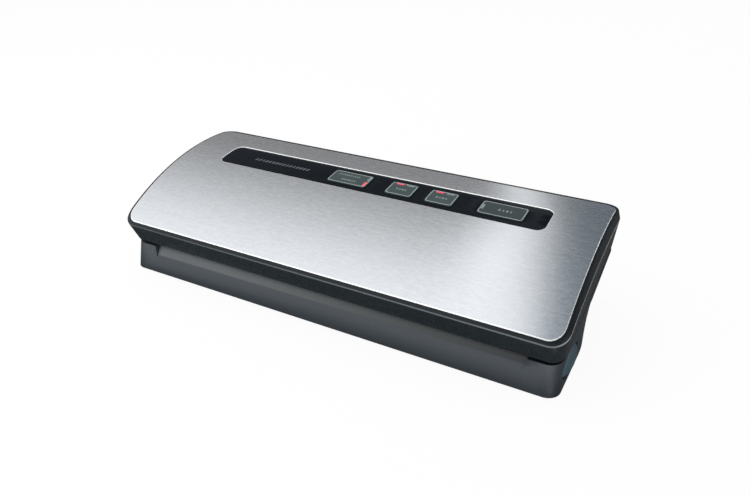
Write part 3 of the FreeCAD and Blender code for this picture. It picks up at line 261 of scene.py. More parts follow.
def satinKeyPlastic():  # tinted translucent key caps, satin, the last key's tint deeper
    material, tree, shader = mottled("satinKeyPlastic", ("334243", "3c4b4c"), 1.4, (0.34, 0.46), 0.006,
                                     {"Specular IOR Level": 0.4})
    last = add(tree, "Math", {0: axes(tree)[0], 1: lastKey["from"] * mm}, operation="GREATER_THAN")
    share = add(tree, "Math", {0: last, 1: lastKey["share"]}, operation="MULTIPLY")
    tint(tree, shader, share, tone(lastKey["shade"]))
    return material


lampLook = {"lit": ("e8304f", "f6566f"), "unlit": "7d8a88", "speck": 0.8, "rough": 0.35, "glow": 0.3}


def frostedPolycarbonate(key, along, level):  # moulded, diffusing: lit red below a level, dim grey above it
    material, tree, shader = blank(f"frostedPolycarbonate.{key}", {"Roughness": lampLook["rough"]})
    place = add(tree, "TexCoord")
    speck = add(tree, "TexNoise", {"Vector": place.outputs["Object"], "Scale": 1 / (lampLook["speck"] * mm)})
    warm = add(tree, "Mix", {0: speck, shadePair: tones(lampLook["lit"])}, data_type="RGBA")
    unlit = add(tree, "Math", {0: axes(tree)[along], 1: level}, operation="GREATER_THAN")
    glow = add(tree, "MapRange", {"Value": unlit, toSpan: (lampLook["glow"], 0.0)})
    feed(tree, shader, {"Base Color": warm, "Emission Color": warm, "Emission Strength": glow})
    tint(tree, shader, unlit, tone(lampLook["unlit"]))
    return material


metal = {"Metallic": 1.0}
looks = {  # the record's slot, or an ink: common name and process, shades, grain, roughness, relief
    "strip_film": ("glossPolycarbonate", ("0f141a", "12171d"), 30, (0.2, 0.24), 0,  # back-printed, gloss
                   {"Specular IOR Level": 0.05}),
    "button_plastic": ("satinButtonPlastic", ("37505a", "415a63"), 1.1, (0.36, 0.48), 0.01),  # teal ABS
    "paleInk": ("paleInk", ("9faba8", "b3bebb"), 0.5, (0.45, 0.6), 0.002),  # screen-printed, matt
    "dimInk": ("dimInk", ("788481", "87938f"), 0.5, (0.45, 0.6), 0.002),  # the same, greyer
    "faintInk": ("faintInk", ("454d51", "50585c"), 0.5, (0.45, 0.6), 0.002),  # just lighter than the strip
    "frame_plastic": ("mouldedAbs", ("2f3438", "363b3f"), 0.9, (0.45, 0.6), 0.02),  # fine grain, low sheen
    "acetal": ("mouldedAcetal", ("cfcfc8", "d8d8d2"), 2.5, (0.35, 0.5), 0.01),  # waxy white
    "black_rubber": ("mouldedRubber", ("1b1c1d", "252627"), 0.7, (0.7, 0.9), 0.03),  # dull
    "grey_foam": ("closedCellFoam", ("70757a", "83888c"), 0.8, (0.85, 0.95), 0.09),  # pitted, no sheen
    "silicone": ("mouldedSilicone", ("a4553f", "b3624a"), 1.5, (0.5, 0.65), 0.02),  # soft red-brown sheen
    "hose_silicone": ("extrudedSilicone", ("d5d4cc", "dedcd5"), 2.0, (0.4, 0.5), 0.01),  # milky
    "steel_zinc": ("zincPlatedSteel", ("b8bcc0", "cfd2d4"), 1.2, (0.25, 0.4), 0.004, metal),  # spangled
    "ribbon_alloy": ("rolledNichrome", ("a39d96", "b5afa8"), 1.0, (0.3, 0.45), 0.004, metal),  # warm grey
    "ptfe_cloth": ("coatedGlassCloth", ("7d6546", "8f7553"), 0.6, (0.45, 0.6), 0.03),  # brown, woven
    "phenolic": ("mouldedPhenolic", ("4e3526", "5a3e2d"), 1.1, (0.45, 0.6), 0.01),  # dark brown
    "circuit_board": ("solderMaskedBoard", ("1d5a36", "23653d"), 3.0, (0.3, 0.4), 0.006),  # green lacquer
    "core_steel": ("laminatedCoreSteel", ("5b5e61", "6c6f72"), 0.5, (0.4, 0.6), 0.01, metal),  # dull sheets
    "coil_copper": ("enamelledCopper", ("a4602f", "b87038"), 0.4, (0.25, 0.4), 0.05, metal),  # varnished
    "motor_steel": ("drawnSteelCan", ("a4a8ab", "b6babc"), 1.6, (0.25, 0.35), 0.003, metal),  # smooth
    "pump_plastic": ("glassFilledNylon", ("2a2b2c", "343536"), 0.6, (0.5, 0.65), 0.02),  # dry black
}
looks = {slot: mottled(*values)[0] for slot, values in looks.items()}
looks["steel_sheet"] = brushedStainless()
looks["lid_plastic"] = polishedAbs()
looks["body_plastic"] = texturedAbs()
looks["key_plastic"] = satinKeyPlastic()
print("materials made:", len(bpy.data.materials))


# lid lines: the crown, the crest below it and the tilted foot of the skirt, in millimetres

lid = {
    "width": 380, "depth": 149, "corner": 12,
    "crownRadius": 217, "rimFront": 47, "rimRear": 81.5, "rimDraw": 1.8,
    "crestRadius": 312, "crestFront": 46, "crestRear": 74.8,
    "skirtFrontHalf": 187.5, "skirtRearHalf": 187.6, "skirtFront": -66, "skirtRear": 71, "skirtCorner": 9,
    "footHeight": 27.4, "footRise": 25.4, "wall": 2.2, "roof": 3.2,
    "footInner": 0.3, "footRound": 0.7, "crestSoft": 2.4, "crestRound": 0.9, "rimSoft": 0.9,
    "seatRound": 0.25,
    "paintedCrestHighlight": {21: 0.9, 22: 0.9},  # points round the crest that carry the painted highlight, and how strong it is
    "notchMiddle": 122, "notchHalf": 12.9, "notchHeight": 5.1, "notchReach": 4, "notchStep": 0.05,
    "windowLap": 3, "weld": 0.004, "crease": 40,
}
closeBy = 1e-4  # points nearer than this are one


def arcThrough(radius, front, rear):
    half = lid["depth"] / 2
    chord = math.hypot(2 * half, rear - front)
    drop = math.sqrt(radius ** 2 - (chord / 2) ** 2)
    return drop * (rear - front) / chord, (front + rear) / 2 - drop * 2 * half / chord


crownCentre = arcThrough(lid["crownRadius"], lid["rimFront"], lid["rimRear"])
crestCentre = arcThrough(lid["crestRadius"], lid["crestFront"], lid["crestRear"])


def crown(y):
    return crownCentre[1] + math.sqrt(lid["crownRadius"] ** 2 - (y - crownCentre[0]) ** 2)


def crest(y):
    return crestCentre[1] + math.sqrt(lid["crestRadius"] ** 2 - (y - crestCentre[0]) ** 2)


def footLine(y):
    span = lid["skirtRear"] - lid["skirtFront"]
    return lid["footHeight"] + (y - lid["skirtFront"]) * lid["footRise"] / span


def roundedLoop(frontHalf, rearHalf, front, rear, radius, bends=10, across=2, along=48, rearSpots=()):
    # a four-sided outline with round corners, from the front right, with set points on the rear side
    corners = [Vector((frontHalf, front)), Vector((rearHalf, rear)),
               Vector((-rearHalf, rear)), Vector((-frontHalf, front))]
    arcs = []
    for i, point in enumerate(corners):
        one = (corners[i - 1] - point).normalized()
        two = (corners[(i + 1) % 4] - point).normalized()
        half = one.angle(two) / 2
        middle = point + (one + two).normalized() * (radius / math.sin(half))
        start = point + one * (radius / math.tan(half)) - middle
        turn = math.pi - 2 * half
        arcs.append([middle + Matrix.Rotation(turn * k / bends, 2) @ start for k in range(bends + 1)])
    loop = []
    for i, arc in enumerate(arcs):
        end = arcs[(i + 1) % 4][0]
        loop += arc
        if i == 1 and rearSpots:
            loop += [Vector((x, rear)) for x in rearSpots]
        else:
            count = along if i % 2 == 0 else across
            loop += [arc[-1].lerp(end, k / count) for k in range(1, count)]
    return loop


def softened(points, rounds, steps=5, cap=0.45):  # rounds a polyline's inner corners, each by its two reaches
    line = [points[0]]
    for before, point, after, (reachIn, reachOut) in zip(points, points[1:], points[2:], rounds):
        a = point + (before - point).normalized() * min(reachIn, cap * (before - point).length)
        b = point + (after - point).normalized() * min(reachOut, cap * (after - point).length)
        for k in range(steps + 1):
            t = k / steps
            line.append(a * (1 - t) ** 2 + point * 2 * t * (1 - t) + b * t ** 2)
    return line + [points[-1]]


def bentSheet(regions, lines):  # flat regions between loops, cut along lines of equal y so that they can bend
    mesh = bmesh.new()
    reach = mesh.verts.layers.float.new("reach")  # how far a point lies in from the edge
    for loops in regions:
        edges = []
        for inset, loop in loops:
            points = [mesh.verts.new((p[0], p[1], 0)) for p in loop]
            for v in points:
                v[reach] = inset
            edges += [mesh.edges.new(pair) for pair in zip(points, points[1:] + points[:1])]
        bmesh.ops.triangle_fill(mesh, use_beauty=True, edges=edges)
    bmesh.ops.remove_doubles(mesh, verts=mesh.verts[:], dist=closeBy)
    for y in lines:
        everything = mesh.verts[:] + mesh.edges[:] + mesh.faces[:]
        bmesh.ops.bisect_plane(mesh, geom=everything, dist=closeBy, plane_co=(0, y, 0), plane_no=(0, 1, 0))
    return mesh


def thicken(mesh, top, bottom, walled=lambda v: True):  # two heights and edge walls; returns the top edges
    faces = mesh.faces[:]
    verts = mesh.verts[:]
    rim = [edge for edge in mesh.edges if edge.is_boundary and all(walled(v) for v in edge.verts)]
    twin = {v: mesh.verts.new((v.co.x, v.co.y, bottom(v))) for v in verts}
    for face in faces:
        mesh.faces.new([twin[v] for v in reversed(face.verts)])
    for edge in rim:
        one, two = edge.verts
        mesh.faces.new([one, two, twin[two], twin[one]])
    for v in verts:
        v.co.z = top(v)
    return rim


strip = {"length": 295, "depth": 30.7, "middle": 23.35, "corner": 7, "sink": 0.5, "thick": 1.6, "gap": 0.25,
         "edge": 0.35, "strips": 24, "crease": 25}
stripLean = math.asin((crownCentre[0] - strip["middle"]) / lid["crownRadius"])
stripPlace = Vector((0, strip["middle"], crown(strip["middle"])))
stripFrame = Matrix.Translation(stripPlace) @ Matrix.Rotation(stripLean, 4, "X")


def stripHeight(lift, v):  # height above the strip's own plane of a skin that follows the crown
    radius = lid["crownRadius"] + lift
    return math.sqrt(radius ** 2 - v ** 2) - lid["crownRadius"]


sheet = {"sideInset": 3.6, "frontInset": 2.4, "rearInset": 6, "corner": 10, "proud": 0.2, "thick": 0.8,
         "gap": 0.25, "rounds": (0, 0.06, 0.2, 0.5), "strips": 90,
         "brightUp": 0.05, "brightBack": 0.3, "grainUnit": 100, "crease": 25}


def sheetLoop(grow, **counts):
    half = lid["width"] / 2 - sheet["sideInset"] + grow
    front = sheet["frontInset"] - lid["depth"] / 2 - grow
    rear = lid["depth"] / 2 - sheet["rearInset"] + grow
    return roundedLoop(half, half, front, rear, sheet["corner"] + grow, **counts)


def windowLoop(grow):  # the strip's outline as it lies on the crown
    half = strip["length"] / 2 + grow
    flat = roundedLoop(half, half, -strip["depth"] / 2 - grow, strip["depth"] / 2 + grow,
                       strip["corner"] + grow, along=8)
    return [(stripFrame @ Vector((p.x, p.y, stripHeight(0, p.y)))).to_2d() for p in flat]


def lidShell():
    half = lid["width"] / 2
    reach = lid["depth"] / 2
    spots = []
    for middle in (lid["notchMiddle"], -lid["notchMiddle"]):
        for edge in (lid["notchHalf"], -lid["notchHalf"]):
            spots += [middle + edge + lid["notchStep"], middle + edge - lid["notchStep"]]
    spots = sorted(spots, reverse=True)

    def ring(draw, height):
        loop = roundedLoop(half - draw, half - draw, draw - reach, reach - draw, lid["corner"] - draw / 4,
                           rearSpots=spots)
        return [Vector((p.x, p.y, height(p.y))) for p in loop]

    def footRing(draw):
        loop = roundedLoop(lid["skirtFrontHalf"] - draw, lid["skirtRearHalf"] - draw,
                           lid["skirtFront"] + draw, lid["skirtRear"] - draw,
                           lid["skirtCorner"] - draw / 2, rearSpots=spots)
        return [Vector((p.x, p.y, footLine(p.y))) for p in loop]

    def inNotch(point):
        rear = point.y > lid["skirtRear"] - lid["notchReach"]
        return rear and abs(abs(point.x) - lid["notchMiddle"]) < lid["notchHalf"]

    def byWindow(v):
        return abs(v.co.x) < strip["length"] / 2 and abs(v.co.y - strip["middle"]) < strip["depth"]

    innerDraw = lid["wall"] + lid["roof"] / 2
    foot, footIn = footRing(0), footRing(lid["wall"])
    crestOut, crestIn = ring(0, crest), ring(innerDraw, lambda y: crest(y) - lid["roof"])
    rim = ring(lid["rimDraw"], crown)
    seat = [Vector((p.x, p.y, crown(p.y))) for p in sheetLoop(sheet["gap"], rearSpots=spots)]
    seatLow = [p - Vector((0, 0, sheet["thick"] - sheet["proud"])) for p in seat]
    roofIn = [p - Vector((0, 0, lid["roof"])) for p in seat]
    evenRounds = [(lid[k], lid[k]) for k in ("footInner", "footRound", "footRound", "rimSoft", "seatRound")]
    rounds = evenRounds[:3] + [(lid["crestSoft"], lid["crestRound"])] + evenRounds[3:]
    mesh = bmesh.new()
    # the points that carry the painted highlight along the crest
    paintedHighlight = mesh.verts.layers.float.new("paintedHighlight")
    strands = []
    for i in range(len(foot)):
        low, lowIn = foot[i], footIn[i]
        if inNotch(low):
            low = low.lerp(crestOut[i], lid["notchHeight"] / (crestOut[i].z - low.z))
            lowIn = lowIn.lerp(crestIn[i], lid["notchHeight"] / (crestIn[i].z - lowIn.z))
        line = softened([roofIn[i], crestIn[i], lowIn, low, crestOut[i], rim[i], seat[i], seatLow[i]], rounds)
        strand = [mesh.verts.new(p) for p in line]
        for k, share in lid["paintedCrestHighlight"].items():
            strand[k][paintedHighlight] = share
        strands.append(strand)
    for one, two in zip(strands, strands[1:] + strands[:1]):
        for k in range(len(one) - 1):
            mesh.faces.new([one[k], two[k], two[k + 1], one[k + 1]])
    lines = sorted({round(p.y, 4) for p in seat})
    roof = bentSheet([[(0, [p.to_2d() for p in seat]), (0, windowLoop(-lid["windowLap"]))]], lines)
    thicken(roof, lambda v: crown(v.co.y) - sheet["thick"] + sheet["proud"],
            lambda v: crown(v.co.y) - lid["roof"], byWindow)
    holder = baked("roof", roof)
    mesh.from_mesh(holder)
    bpy.data.meshes.remove(holder)
    bmesh.ops.remove_doubles(mesh, verts=mesh.verts[:], dist=lid["weld"])
    piece("lidShell", mesh, "lid_shell", "lid", lid["crease"])


def steelCover():
    soft = sheet["rounds"][-1]
    outlines = [(r, sheetLoop(-r, along=60)) for r in sheet["rounds"]]
    windows = [(r, windowLoop(r)) for r in sheet["rounds"]]
    regions = [[outlines[-1], windows[-1]]]
    for loops in (outlines, windows):
        regions += [list(pair) for pair in zip(loops, loops[1:])]
    low, high = min(p.y for p in outlines[0][1]), max(p.y for p in outlines[0][1])
    lines = [low + (high - low) * k / sheet["strips"] for k in range(1, sheet["strips"])]
    mesh = bentSheet(regions, lines)
    mesh.loops.layers.uv.new("across")  # U runs across the brush lines
    mesh.loops.layers.float.new("paintedHighlight")  # painted highlight: the sheared edge's faces are painted near-white
    across, highlightShare = mesh.loops.layers.uv["across"], mesh.loops.layers.float["paintedHighlight"]
    reach = mesh.verts.layers.float["reach"]

    def top(v):
        arc = math.sqrt(max(0, soft ** 2 - (soft - v[reach]) ** 2))
        return crown(v.co.y) + sheet["proud"] - soft + arc

    thicken(mesh, top, lambda v: crown(v.co.y) + sheet["proud"] - sheet["thick"])
    bmesh.ops.recalc_face_normals(mesh, faces=mesh.faces[:])
    mesh.normal_update()
    # the painted highlight goes on the rounded edge faces that turn up and not back
    edgeFaces = {face for face in mesh.faces
                 if face.normal.z > sheet["brightUp"] and face.normal.y < sheet["brightBack"]
                 and min(v[reach] for v in face.verts) < soft - closeBy}
    for face in mesh.faces:
        for corner in face.loops:
            corner[across].uv = corner.vert.co.yx / sheet["grainUnit"]
            corner[highlightShare] = 1.0 if face in edgeFaces else 0.0
    for edge in mesh.edges:
        if len({face in edgeFaces for face in edge.link_faces}) == 2:
            edge.smooth = False
    piece("steelCover", mesh, "steel_cover", "lid", sheet["crease"])


keys = {  # middle along the strip and length
    "vacuum": {"x": -20, "length": 36}, "food": {"x": 27.5, "length": 23},
    "pump": {"x": 62.4, "length": 23}, "seal": {"x": 112, "length": 36},
}
keyShape = {"depth": 18.5, "corner": 2, "gap": 0.35, "proud": 0.7, "inset": 0.9, "line": 0.55, "ink": 0.04,
            "step": 0.8, "bends": 5}


def controlStrip():
    half = strip["length"] / 2 - strip["gap"]
    deep = strip["depth"] / 2 - strip["gap"]
    outer = roundedLoop(half, half, -deep, deep, strip["corner"] - strip["gap"], along=12)
    holes = []
    for key in keys.values():
        wide = key["length"] / 2 + keyShape["gap"]
        tall = keyShape["depth"] / 2 + keyShape["gap"]
        loop = roundedLoop(wide, wide, -tall, tall, keyShape["corner"] + keyShape["gap"],
                           bends=keyShape["bends"], along=4)
        holes.append([p + Vector((key["x"], 0)) for p in loop])
    lines = [deep * (2 * k / strip["strips"] - 1) for k in range(1, strip["strips"])]
    mesh = bentSheet([[(0, loop) for loop in [outer] + holes]], lines)
    rim = thicken(mesh, lambda v: stripHeight(-strip["sink"], v.co.y),
                  lambda v: stripHeight(-strip["sink"] - strip["thick"], v.co.y))
    bmesh.ops.recalc_face_normals(mesh, faces=mesh.faces[:])
    bmesh.ops.bevel(mesh, geom=rim, offset=strip["edge"], segments=2, profile=0.5, affect="EDGES",
                    clamp_overlap=True)
    bmesh.ops.transform(mesh, matrix=stripFrame, verts=mesh.verts[:])
    piece("controlStrip", mesh, "control_strip", "lid", strip["crease"])


lidShell()
steelCover()
controlStrip()
print("lid skins made")


# node trees: each has named inputs and ends in real meshes with their finish

socketKinds = {int: "NodeSocketInt", float: "NodeSocketFloat", type(None): "NodeSocketMaterial"}


def nodeTree(name, inputs):
    tree = bpy.data.node_groups.new(name, "GeometryNodeTree")
    tree.interface.new_socket("Geometry", in_out="INPUT", socket_type="NodeSocketGeometry")
    for label, value in inputs.items():
        socket = tree.interface.new_socket(label, in_out="INPUT", socket_type=socketKinds[type(value)])
        if value is not None:
            socket.default_value = value
    tree.interface.new_socket("Geometry", in_out="OUTPUT", socket_type="NodeSocketGeometry")
    return tree, add(tree, "NodeGroupInput").outputs


def finished(tree, given, shape):
    solid = add(tree, "GeometryNodeRealizeInstances", {0: shape})
    shown = add(tree, "GeometryNodeSetMaterial", {"Geometry": solid, "Material": given["Finish"]})
    add(tree, "NodeGroupOutput", {0: shown})
    return tree


def grown(name, tree, lengths, others, finish, body, slot, start=None):  # runs a tree, lengths in mm
    thing = placed(name, start or bpy.data.meshes.new(name))
    step = thing.modifiers.new("grow", "NODES")
    step.node_group = tree
    values = {**{label: length * mm for label, length in lengths.items()}, **others, "Finish": finish}
    for item in tree.interface.items_tree:
        if item.in_out == "INPUT" and item.name in values:
            step[item.identifier] = values[item.name]
    bpy.context.view_layer.update()
    made = bpy.data.meshes.new_from_object(thing.evaluated_get(bpy.context.evaluated_depsgraph_get()))
    thing.modifiers.remove(step)
    thing.data = made
    made.name = name
    return ridden(thing, body, slot)


def metres(matrix):  # the same place, given in metres
    moved = matrix.copy()
    moved.translation *= mm
    return moved


# outlines of the keys: a rounded loop of ink that follows the crown

def outlineTree():
    tree, given = nodeTree("keyOutline", {
        "Length": 0.03, "Depth": 0.018, "Corner": 0.002, "Line": 0.0005, "Ink": 0.00004, "Step": 0.0008,
        "Along": 0.0, "Radius": 0.2, "Drop": 0.2, "Finish": None})
    loop = add(tree, "GeometryNodeCurvePrimitiveQuadrilateral",
               {"Width": given["Length"], "Height": given["Depth"]})
    soft = add(tree, "GeometryNodeFilletCurve",
               {"Curve": loop, "Radius": given["Corner"], "Count": keyShape["bends"]}, mode="POLY")
    fine = add(tree, "GeometryNodeResampleCurve", {"Curve": soft, "Length": given["Step"]}, mode="LENGTH")
    band = add(tree, "GeometryNodeCurvePrimitiveQuadrilateral",
               {"Width": given["Line"], "Height": given["Ink"]})
    ribbon = add(tree, "GeometryNodeCurveToMesh", {"Curve": fine, "Profile Curve": band})
    spot = add(tree, "GeometryNodeInputPosition")
    across = add(tree, "SeparateXYZ", {0: spot}).outputs[1]
    square = add(tree, "Math", {0: across, 1: across}, operation="MULTIPLY")
    full = add(tree, "Math", {0: given["Radius"], 1: given["Radius"]}, operation="MULTIPLY")
    left = add(tree, "Math", {0: full, 1: square}, operation="SUBTRACT")
    root = add(tree, "Math", {0: left}, operation="SQRT")
    lift = add(tree, "Math", {0: root, 1: given["Drop"]}, operation="SUBTRACT")
    shift = add(tree, "CombineXYZ", {0: given["Along"], 2: lift})
    laid = add(tree, "GeometryNodeSetPosition", {"Geometry": ribbon, "Offset": shift})
    return finished(tree, given, laid)


outlines = outlineTree()
keyLift = keyShape["proud"] - strip["sink"]
for name, key in keys.items():
    ring = grown(f"{name}Outline", outlines, {
        "Length": key["length"] - 2 * keyShape["inset"], "Depth": keyShape["depth"] - 2 * keyShape["inset"],
        "Corner": keyShape["corner"], "Line": keyShape["line"], "Ink": keyShape["ink"],
        "Step": keyShape["step"], "Along": key["x"],
        "Radius": lid["crownRadius"] + keyLift + keyShape["ink"] / 2,
        "Drop": lid["crownRadius"]}, {}, looks["paleInk"], f"{name}_key_set", "key_plastic")
    ring.data.transform(metres(stripFrame))
print("key outlines made")


# printed rows of ticks on the keys and the strip

tickRows = {  # middle on the strip, count, pitch, width and height
    "stripTicks": {"x": -89, "v": -0.3, "count": 16, "pitch": 3.6, "wide": 2.6, "tall": 3.4,
                   "body": "lid", "ink": "faintInk", "slant": 0.45, "slot": "strip_film"},
    "vacuumTicks": {"x": -23, "v": 3.6, "count": 11, "pitch": 1.9, "wide": 1.2, "tall": 1.7},
    "vacuumTicksFront": {"x": -20, "v": -3.6, "count": 6, "pitch": 2.3, "wide": 1.6, "tall": 2.0},
    "foodTicks": {"x": 27.5, "v": -0.8, "count": 4, "pitch": 2.5, "wide": 1.7, "tall": 2.1},
    "pumpTicks": {"x": 62.4, "v": -0.8, "count": 4, "pitch": 2.6, "wide": 1.8, "tall": 2.1},
    "sealTicks": {"x": 114, "v": -0.4, "count": 4, "pitch": 3.0, "wide": 1.8, "tall": 2.3},
}
keyTicks = {"ink": "dimInk", "slant": 0, "slot": "key_plastic"}
narrowest = 0.55  # share of a tick's width


def tickTree():
    tree, given = nodeTree("tickRow", {
        "Count": 8, "Pitch": 0.002, "Wide": 0.001, "Tall": 0.002, "Ink": 0.00004, "Slant": 0.3, "Seed": 4,
        "Start": -0.007, "Finish": None})
    step = add(tree, "CombineXYZ", {0: given["Pitch"]})
    first = add(tree, "CombineXYZ", {0: given["Start"]})
    row = add(tree, "GeometryNodeMeshLine",
              {"Count": given["Count"], "Start Location": first, "Offset": step}, mode="OFFSET")
    block = add(tree, "CombineXYZ", {0: given["Wide"], 1: given["Tall"], 2: given["Ink"]})
    tick = add(tree, "GeometryNodeMeshCube", {"Size": block})
    spot = add(tree, "GeometryNodeInputPosition")
    across = add(tree, "SeparateXYZ", {0: spot}).outputs[1]
    lean = add(tree, "Math", {0: across, 1: given["Slant"]}, operation="MULTIPLY")
    shift = add(tree, "CombineXYZ", {0: lean})
    slanted = add(tree, "GeometryNodeSetPosition", {"Geometry": tick, "Offset": shift})
    vary = add(tree, "FunctionNodeRandomValue",
               {2: narrowest, 3: 1.0, "Seed": given["Seed"]}, data_type="FLOAT")
    scale = add(tree, "CombineXYZ", {0: vary, 1: 1.0, 2: 1.0})
    copies = add(tree, "GeometryNodeInstanceOnPoints", {"Points": row, "Instance": slanted, "Scale": scale})
    return finished(tree, given, copies)


def onStrip(x, v, lift):  # place on a skin that follows the crown, in metres
    lean = math.asin(v / (lid["crownRadius"] + lift))
    spot = stripFrame @ Matrix.Translation((x, v, stripHeight(lift, v)))
    return metres(spot @ Matrix.Rotation(-lean, 4, "X"))


ticks = tickTree()
for name, row in tickRows.items():
    row = {"body": f"{name.split('Ticks')[0]}_key_set", **keyTicks, **row}
    marks = grown(name, ticks, {
        "Pitch": row["pitch"], "Wide": row["wide"], "Tall": row["tall"], "Ink": keyShape["ink"],
        "Start": (1 - row["count"]) * row["pitch"] / 2},
        {"Count": row["count"], "Slant": row["slant"], "Seed": row["count"]},
        looks[row["ink"]], row["body"], row["slot"])
    lift = -strip["sink"] if row["body"] == "lid" else keyLift
    marks.data.transform(onStrip(row["x"], row["v"], lift + keyShape["ink"] / 2))
print("ticks made")


# screws with a cross recess, each row on the places of the frame's own screws

screwShape = {"headRadius": 2.8, "headHeight": 2, "shankRadius": 1.45, "shankLength": 10,
              "headSides": 36, "shankSides": 24, "crease": 35,
              "recessLong": 1.15, "recessShort": 0.26, "recessDeep": 1.1}  # recess as shares of the head


def screwTree():
    tree, given = nodeTree("crossScrews", {
        "Head Radius": 0.0028, "Head Height": 0.002, "Shank Radius": 0.0014, "Shank Length": 0.01,
        "Finish": None})
    solids = []
    for radius, depth, sides, middle in (("Head Radius", "Head Height", "headSides", -0.5),
                                         ("Shank Radius", "Shank Length", "shankSides", 0.5)):
        barrel = add(tree, "GeometryNodeMeshCylinder",
                     {"Vertices": screwShape[sides], "Radius": given[radius], "Depth": given[depth]})
        height = add(tree, "Math", {0: given[depth], 1: middle}, operation="MULTIPLY")
        place = add(tree, "CombineXYZ", {2: height})
        solids.append(add(tree, "GeometryNodeTransform", {"Geometry": barrel, "Translation": place}))
    long, short, deep = (
        add(tree, "Math", {0: given[size], 1: screwShape[share]}, operation="MULTIPLY")
        for size, share in (("Head Radius", "recessLong"), ("Head Radius", "recessShort"),
                            ("Head Height", "recessDeep")))
    low = add(tree, "Math", {0: given["Head Height"], 1: -1.0}, operation="MULTIPLY")
    place = add(tree, "CombineXYZ", {2: low})
    slotted = add(tree, "GeometryNodeMeshBoolean", {0: solids[0]}, operation="DIFFERENCE", solver="EXACT")
    for one, two in ((long, short), (short, long)):
        block = add(tree, "CombineXYZ", {0: one, 1: two, 2: deep})
        bar = add(tree, "GeometryNodeMeshCube", {"Size": block})
        feed(tree, slotted, {1: add(tree, "GeometryNodeTransform", {"Geometry": bar, "Translation": place})})
    whole = add(tree, "GeometryNodeMeshBoolean", {1: solids[1]}, operation="UNION", solver="EXACT")
    feed(tree, whole, {1: slotted})
    copies = add(tree, "GeometryNodeInstanceOnPoints", {"Points": given["Geometry"], "Instance": whole})
    return finished(tree, given, copies)


deckTilt = math.atan2(lid["footRise"], lid["skirtRear"] - lid["skirtFront"])
deckFrame = Matrix.Translation((0, 0, footLine(0))) @ Matrix.Rotation(deckTilt, 4, "X")
screwRows = {
    "baseScrews": {"node": "base_screws", "body": "base", "seat": 4, "frame": Matrix(),
                   "places": [(x, y) for x in (-138, 0, 138) for y in (-60.7, 60)]},
    "lidScrews": {"node": "lid_screws", "body": "lid", "seat": 2, "frame": deckFrame,
                  "places": [(way * x, y) for way in (1, -1) for x, y in ((160, 14), (160, 56), (100, -60))]},
}
screws = screwTree()
for name, row in screwRows.items():
    points = bpy.data.meshes.new(name)
    points.from_pydata([(x * mm, y * mm, row["seat"] * mm) for x, y in row["places"]], [], [])
    made = grown(name, screws, {
        "Head Radius": screwShape["headRadius"], "Head Height": screwShape["headHeight"],
        "Shank Radius": screwShape["shankRadius"], "Shank Length": screwShape["shankLength"]},
        {}, looks["steel_zinc"], row["body"], "steel_zinc", points)
    made.data.transform(metres(row["frame"]))
    shaded(made.data, screwShape["crease"])
    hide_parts(row["node"])
print("screws made")


# foam seals: a rounded section swept round a rounded loop

seal = {"length": 326, "depth": 46, "corner": 16, "wide": 7, "middle": -20, "round": 1.1,
        "loopBends": 16, "bends": 6, "crease": 40}
sealRows = {"lowerSeal": {"node": "lower_gasket", "body": "base", "low": -5, "high": -0.3},
            "upperSeal": {"node": "upper_gasket", "body": "lid", "low": 0.3, "high": 3.0}}


def sealTree():
    tree, given = nodeTree("foamLoop", {
        "Length": 0.3, "Depth": 0.04, "Corner": 0.012, "Wide": 0.007, "Tall": 0.003, "Round": 0.001,
        "Finish": None})
    curves = []
    for wide, high, corner, bends in (("Length", "Depth", "Corner", "loopBends"),
                                      ("Wide", "Tall", "Round", "bends")):
        loop = add(tree, "GeometryNodeCurvePrimitiveQuadrilateral",
                   {"Width": given[wide], "Height": given[high]})
        curves.append(add(tree, "GeometryNodeFilletCurve",
                          {"Curve": loop, "Radius": given[corner], "Count": seal[bends]}, mode="POLY"))
    foam = add(tree, "GeometryNodeCurveToMesh", {"Curve": curves[0], "Profile Curve": curves[1]})
    return finished(tree, given, foam)


seals = sealTree()
for name, row in sealRows.items():
    tall = row["high"] - row["low"]
    foam = grown(name, seals, {
        "Length": seal["length"] - seal["wide"], "Depth": seal["depth"] - seal["wide"],
        "Corner": seal["corner"] - seal["wide"] / 2, "Wide": seal["wide"], "Tall": tall,
        "Round": seal["round"]}, {}, looks["grey_foam"], row["body"], "grey_foam")
    foam.data.transform(metres(deckFrame @ Matrix.Translation((0, seal["middle"], row["low"] + tall / 2))))
    shaded(foam.data, seal["crease"])
    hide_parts(row["node"])
print("seals made")


# the silicone bar over the heating ribbon, ridged along its lower face

pressBar = {"length": 306, "depth": 11, "middle": -50, "low": 0.3, "high": 3, "corner": 1.5, "cornerSteps": 5,
            "ridges": 4, "ridge": 0.5, "round": 0.8, "roundPower": 8, "steps": 48, "crease": 40}


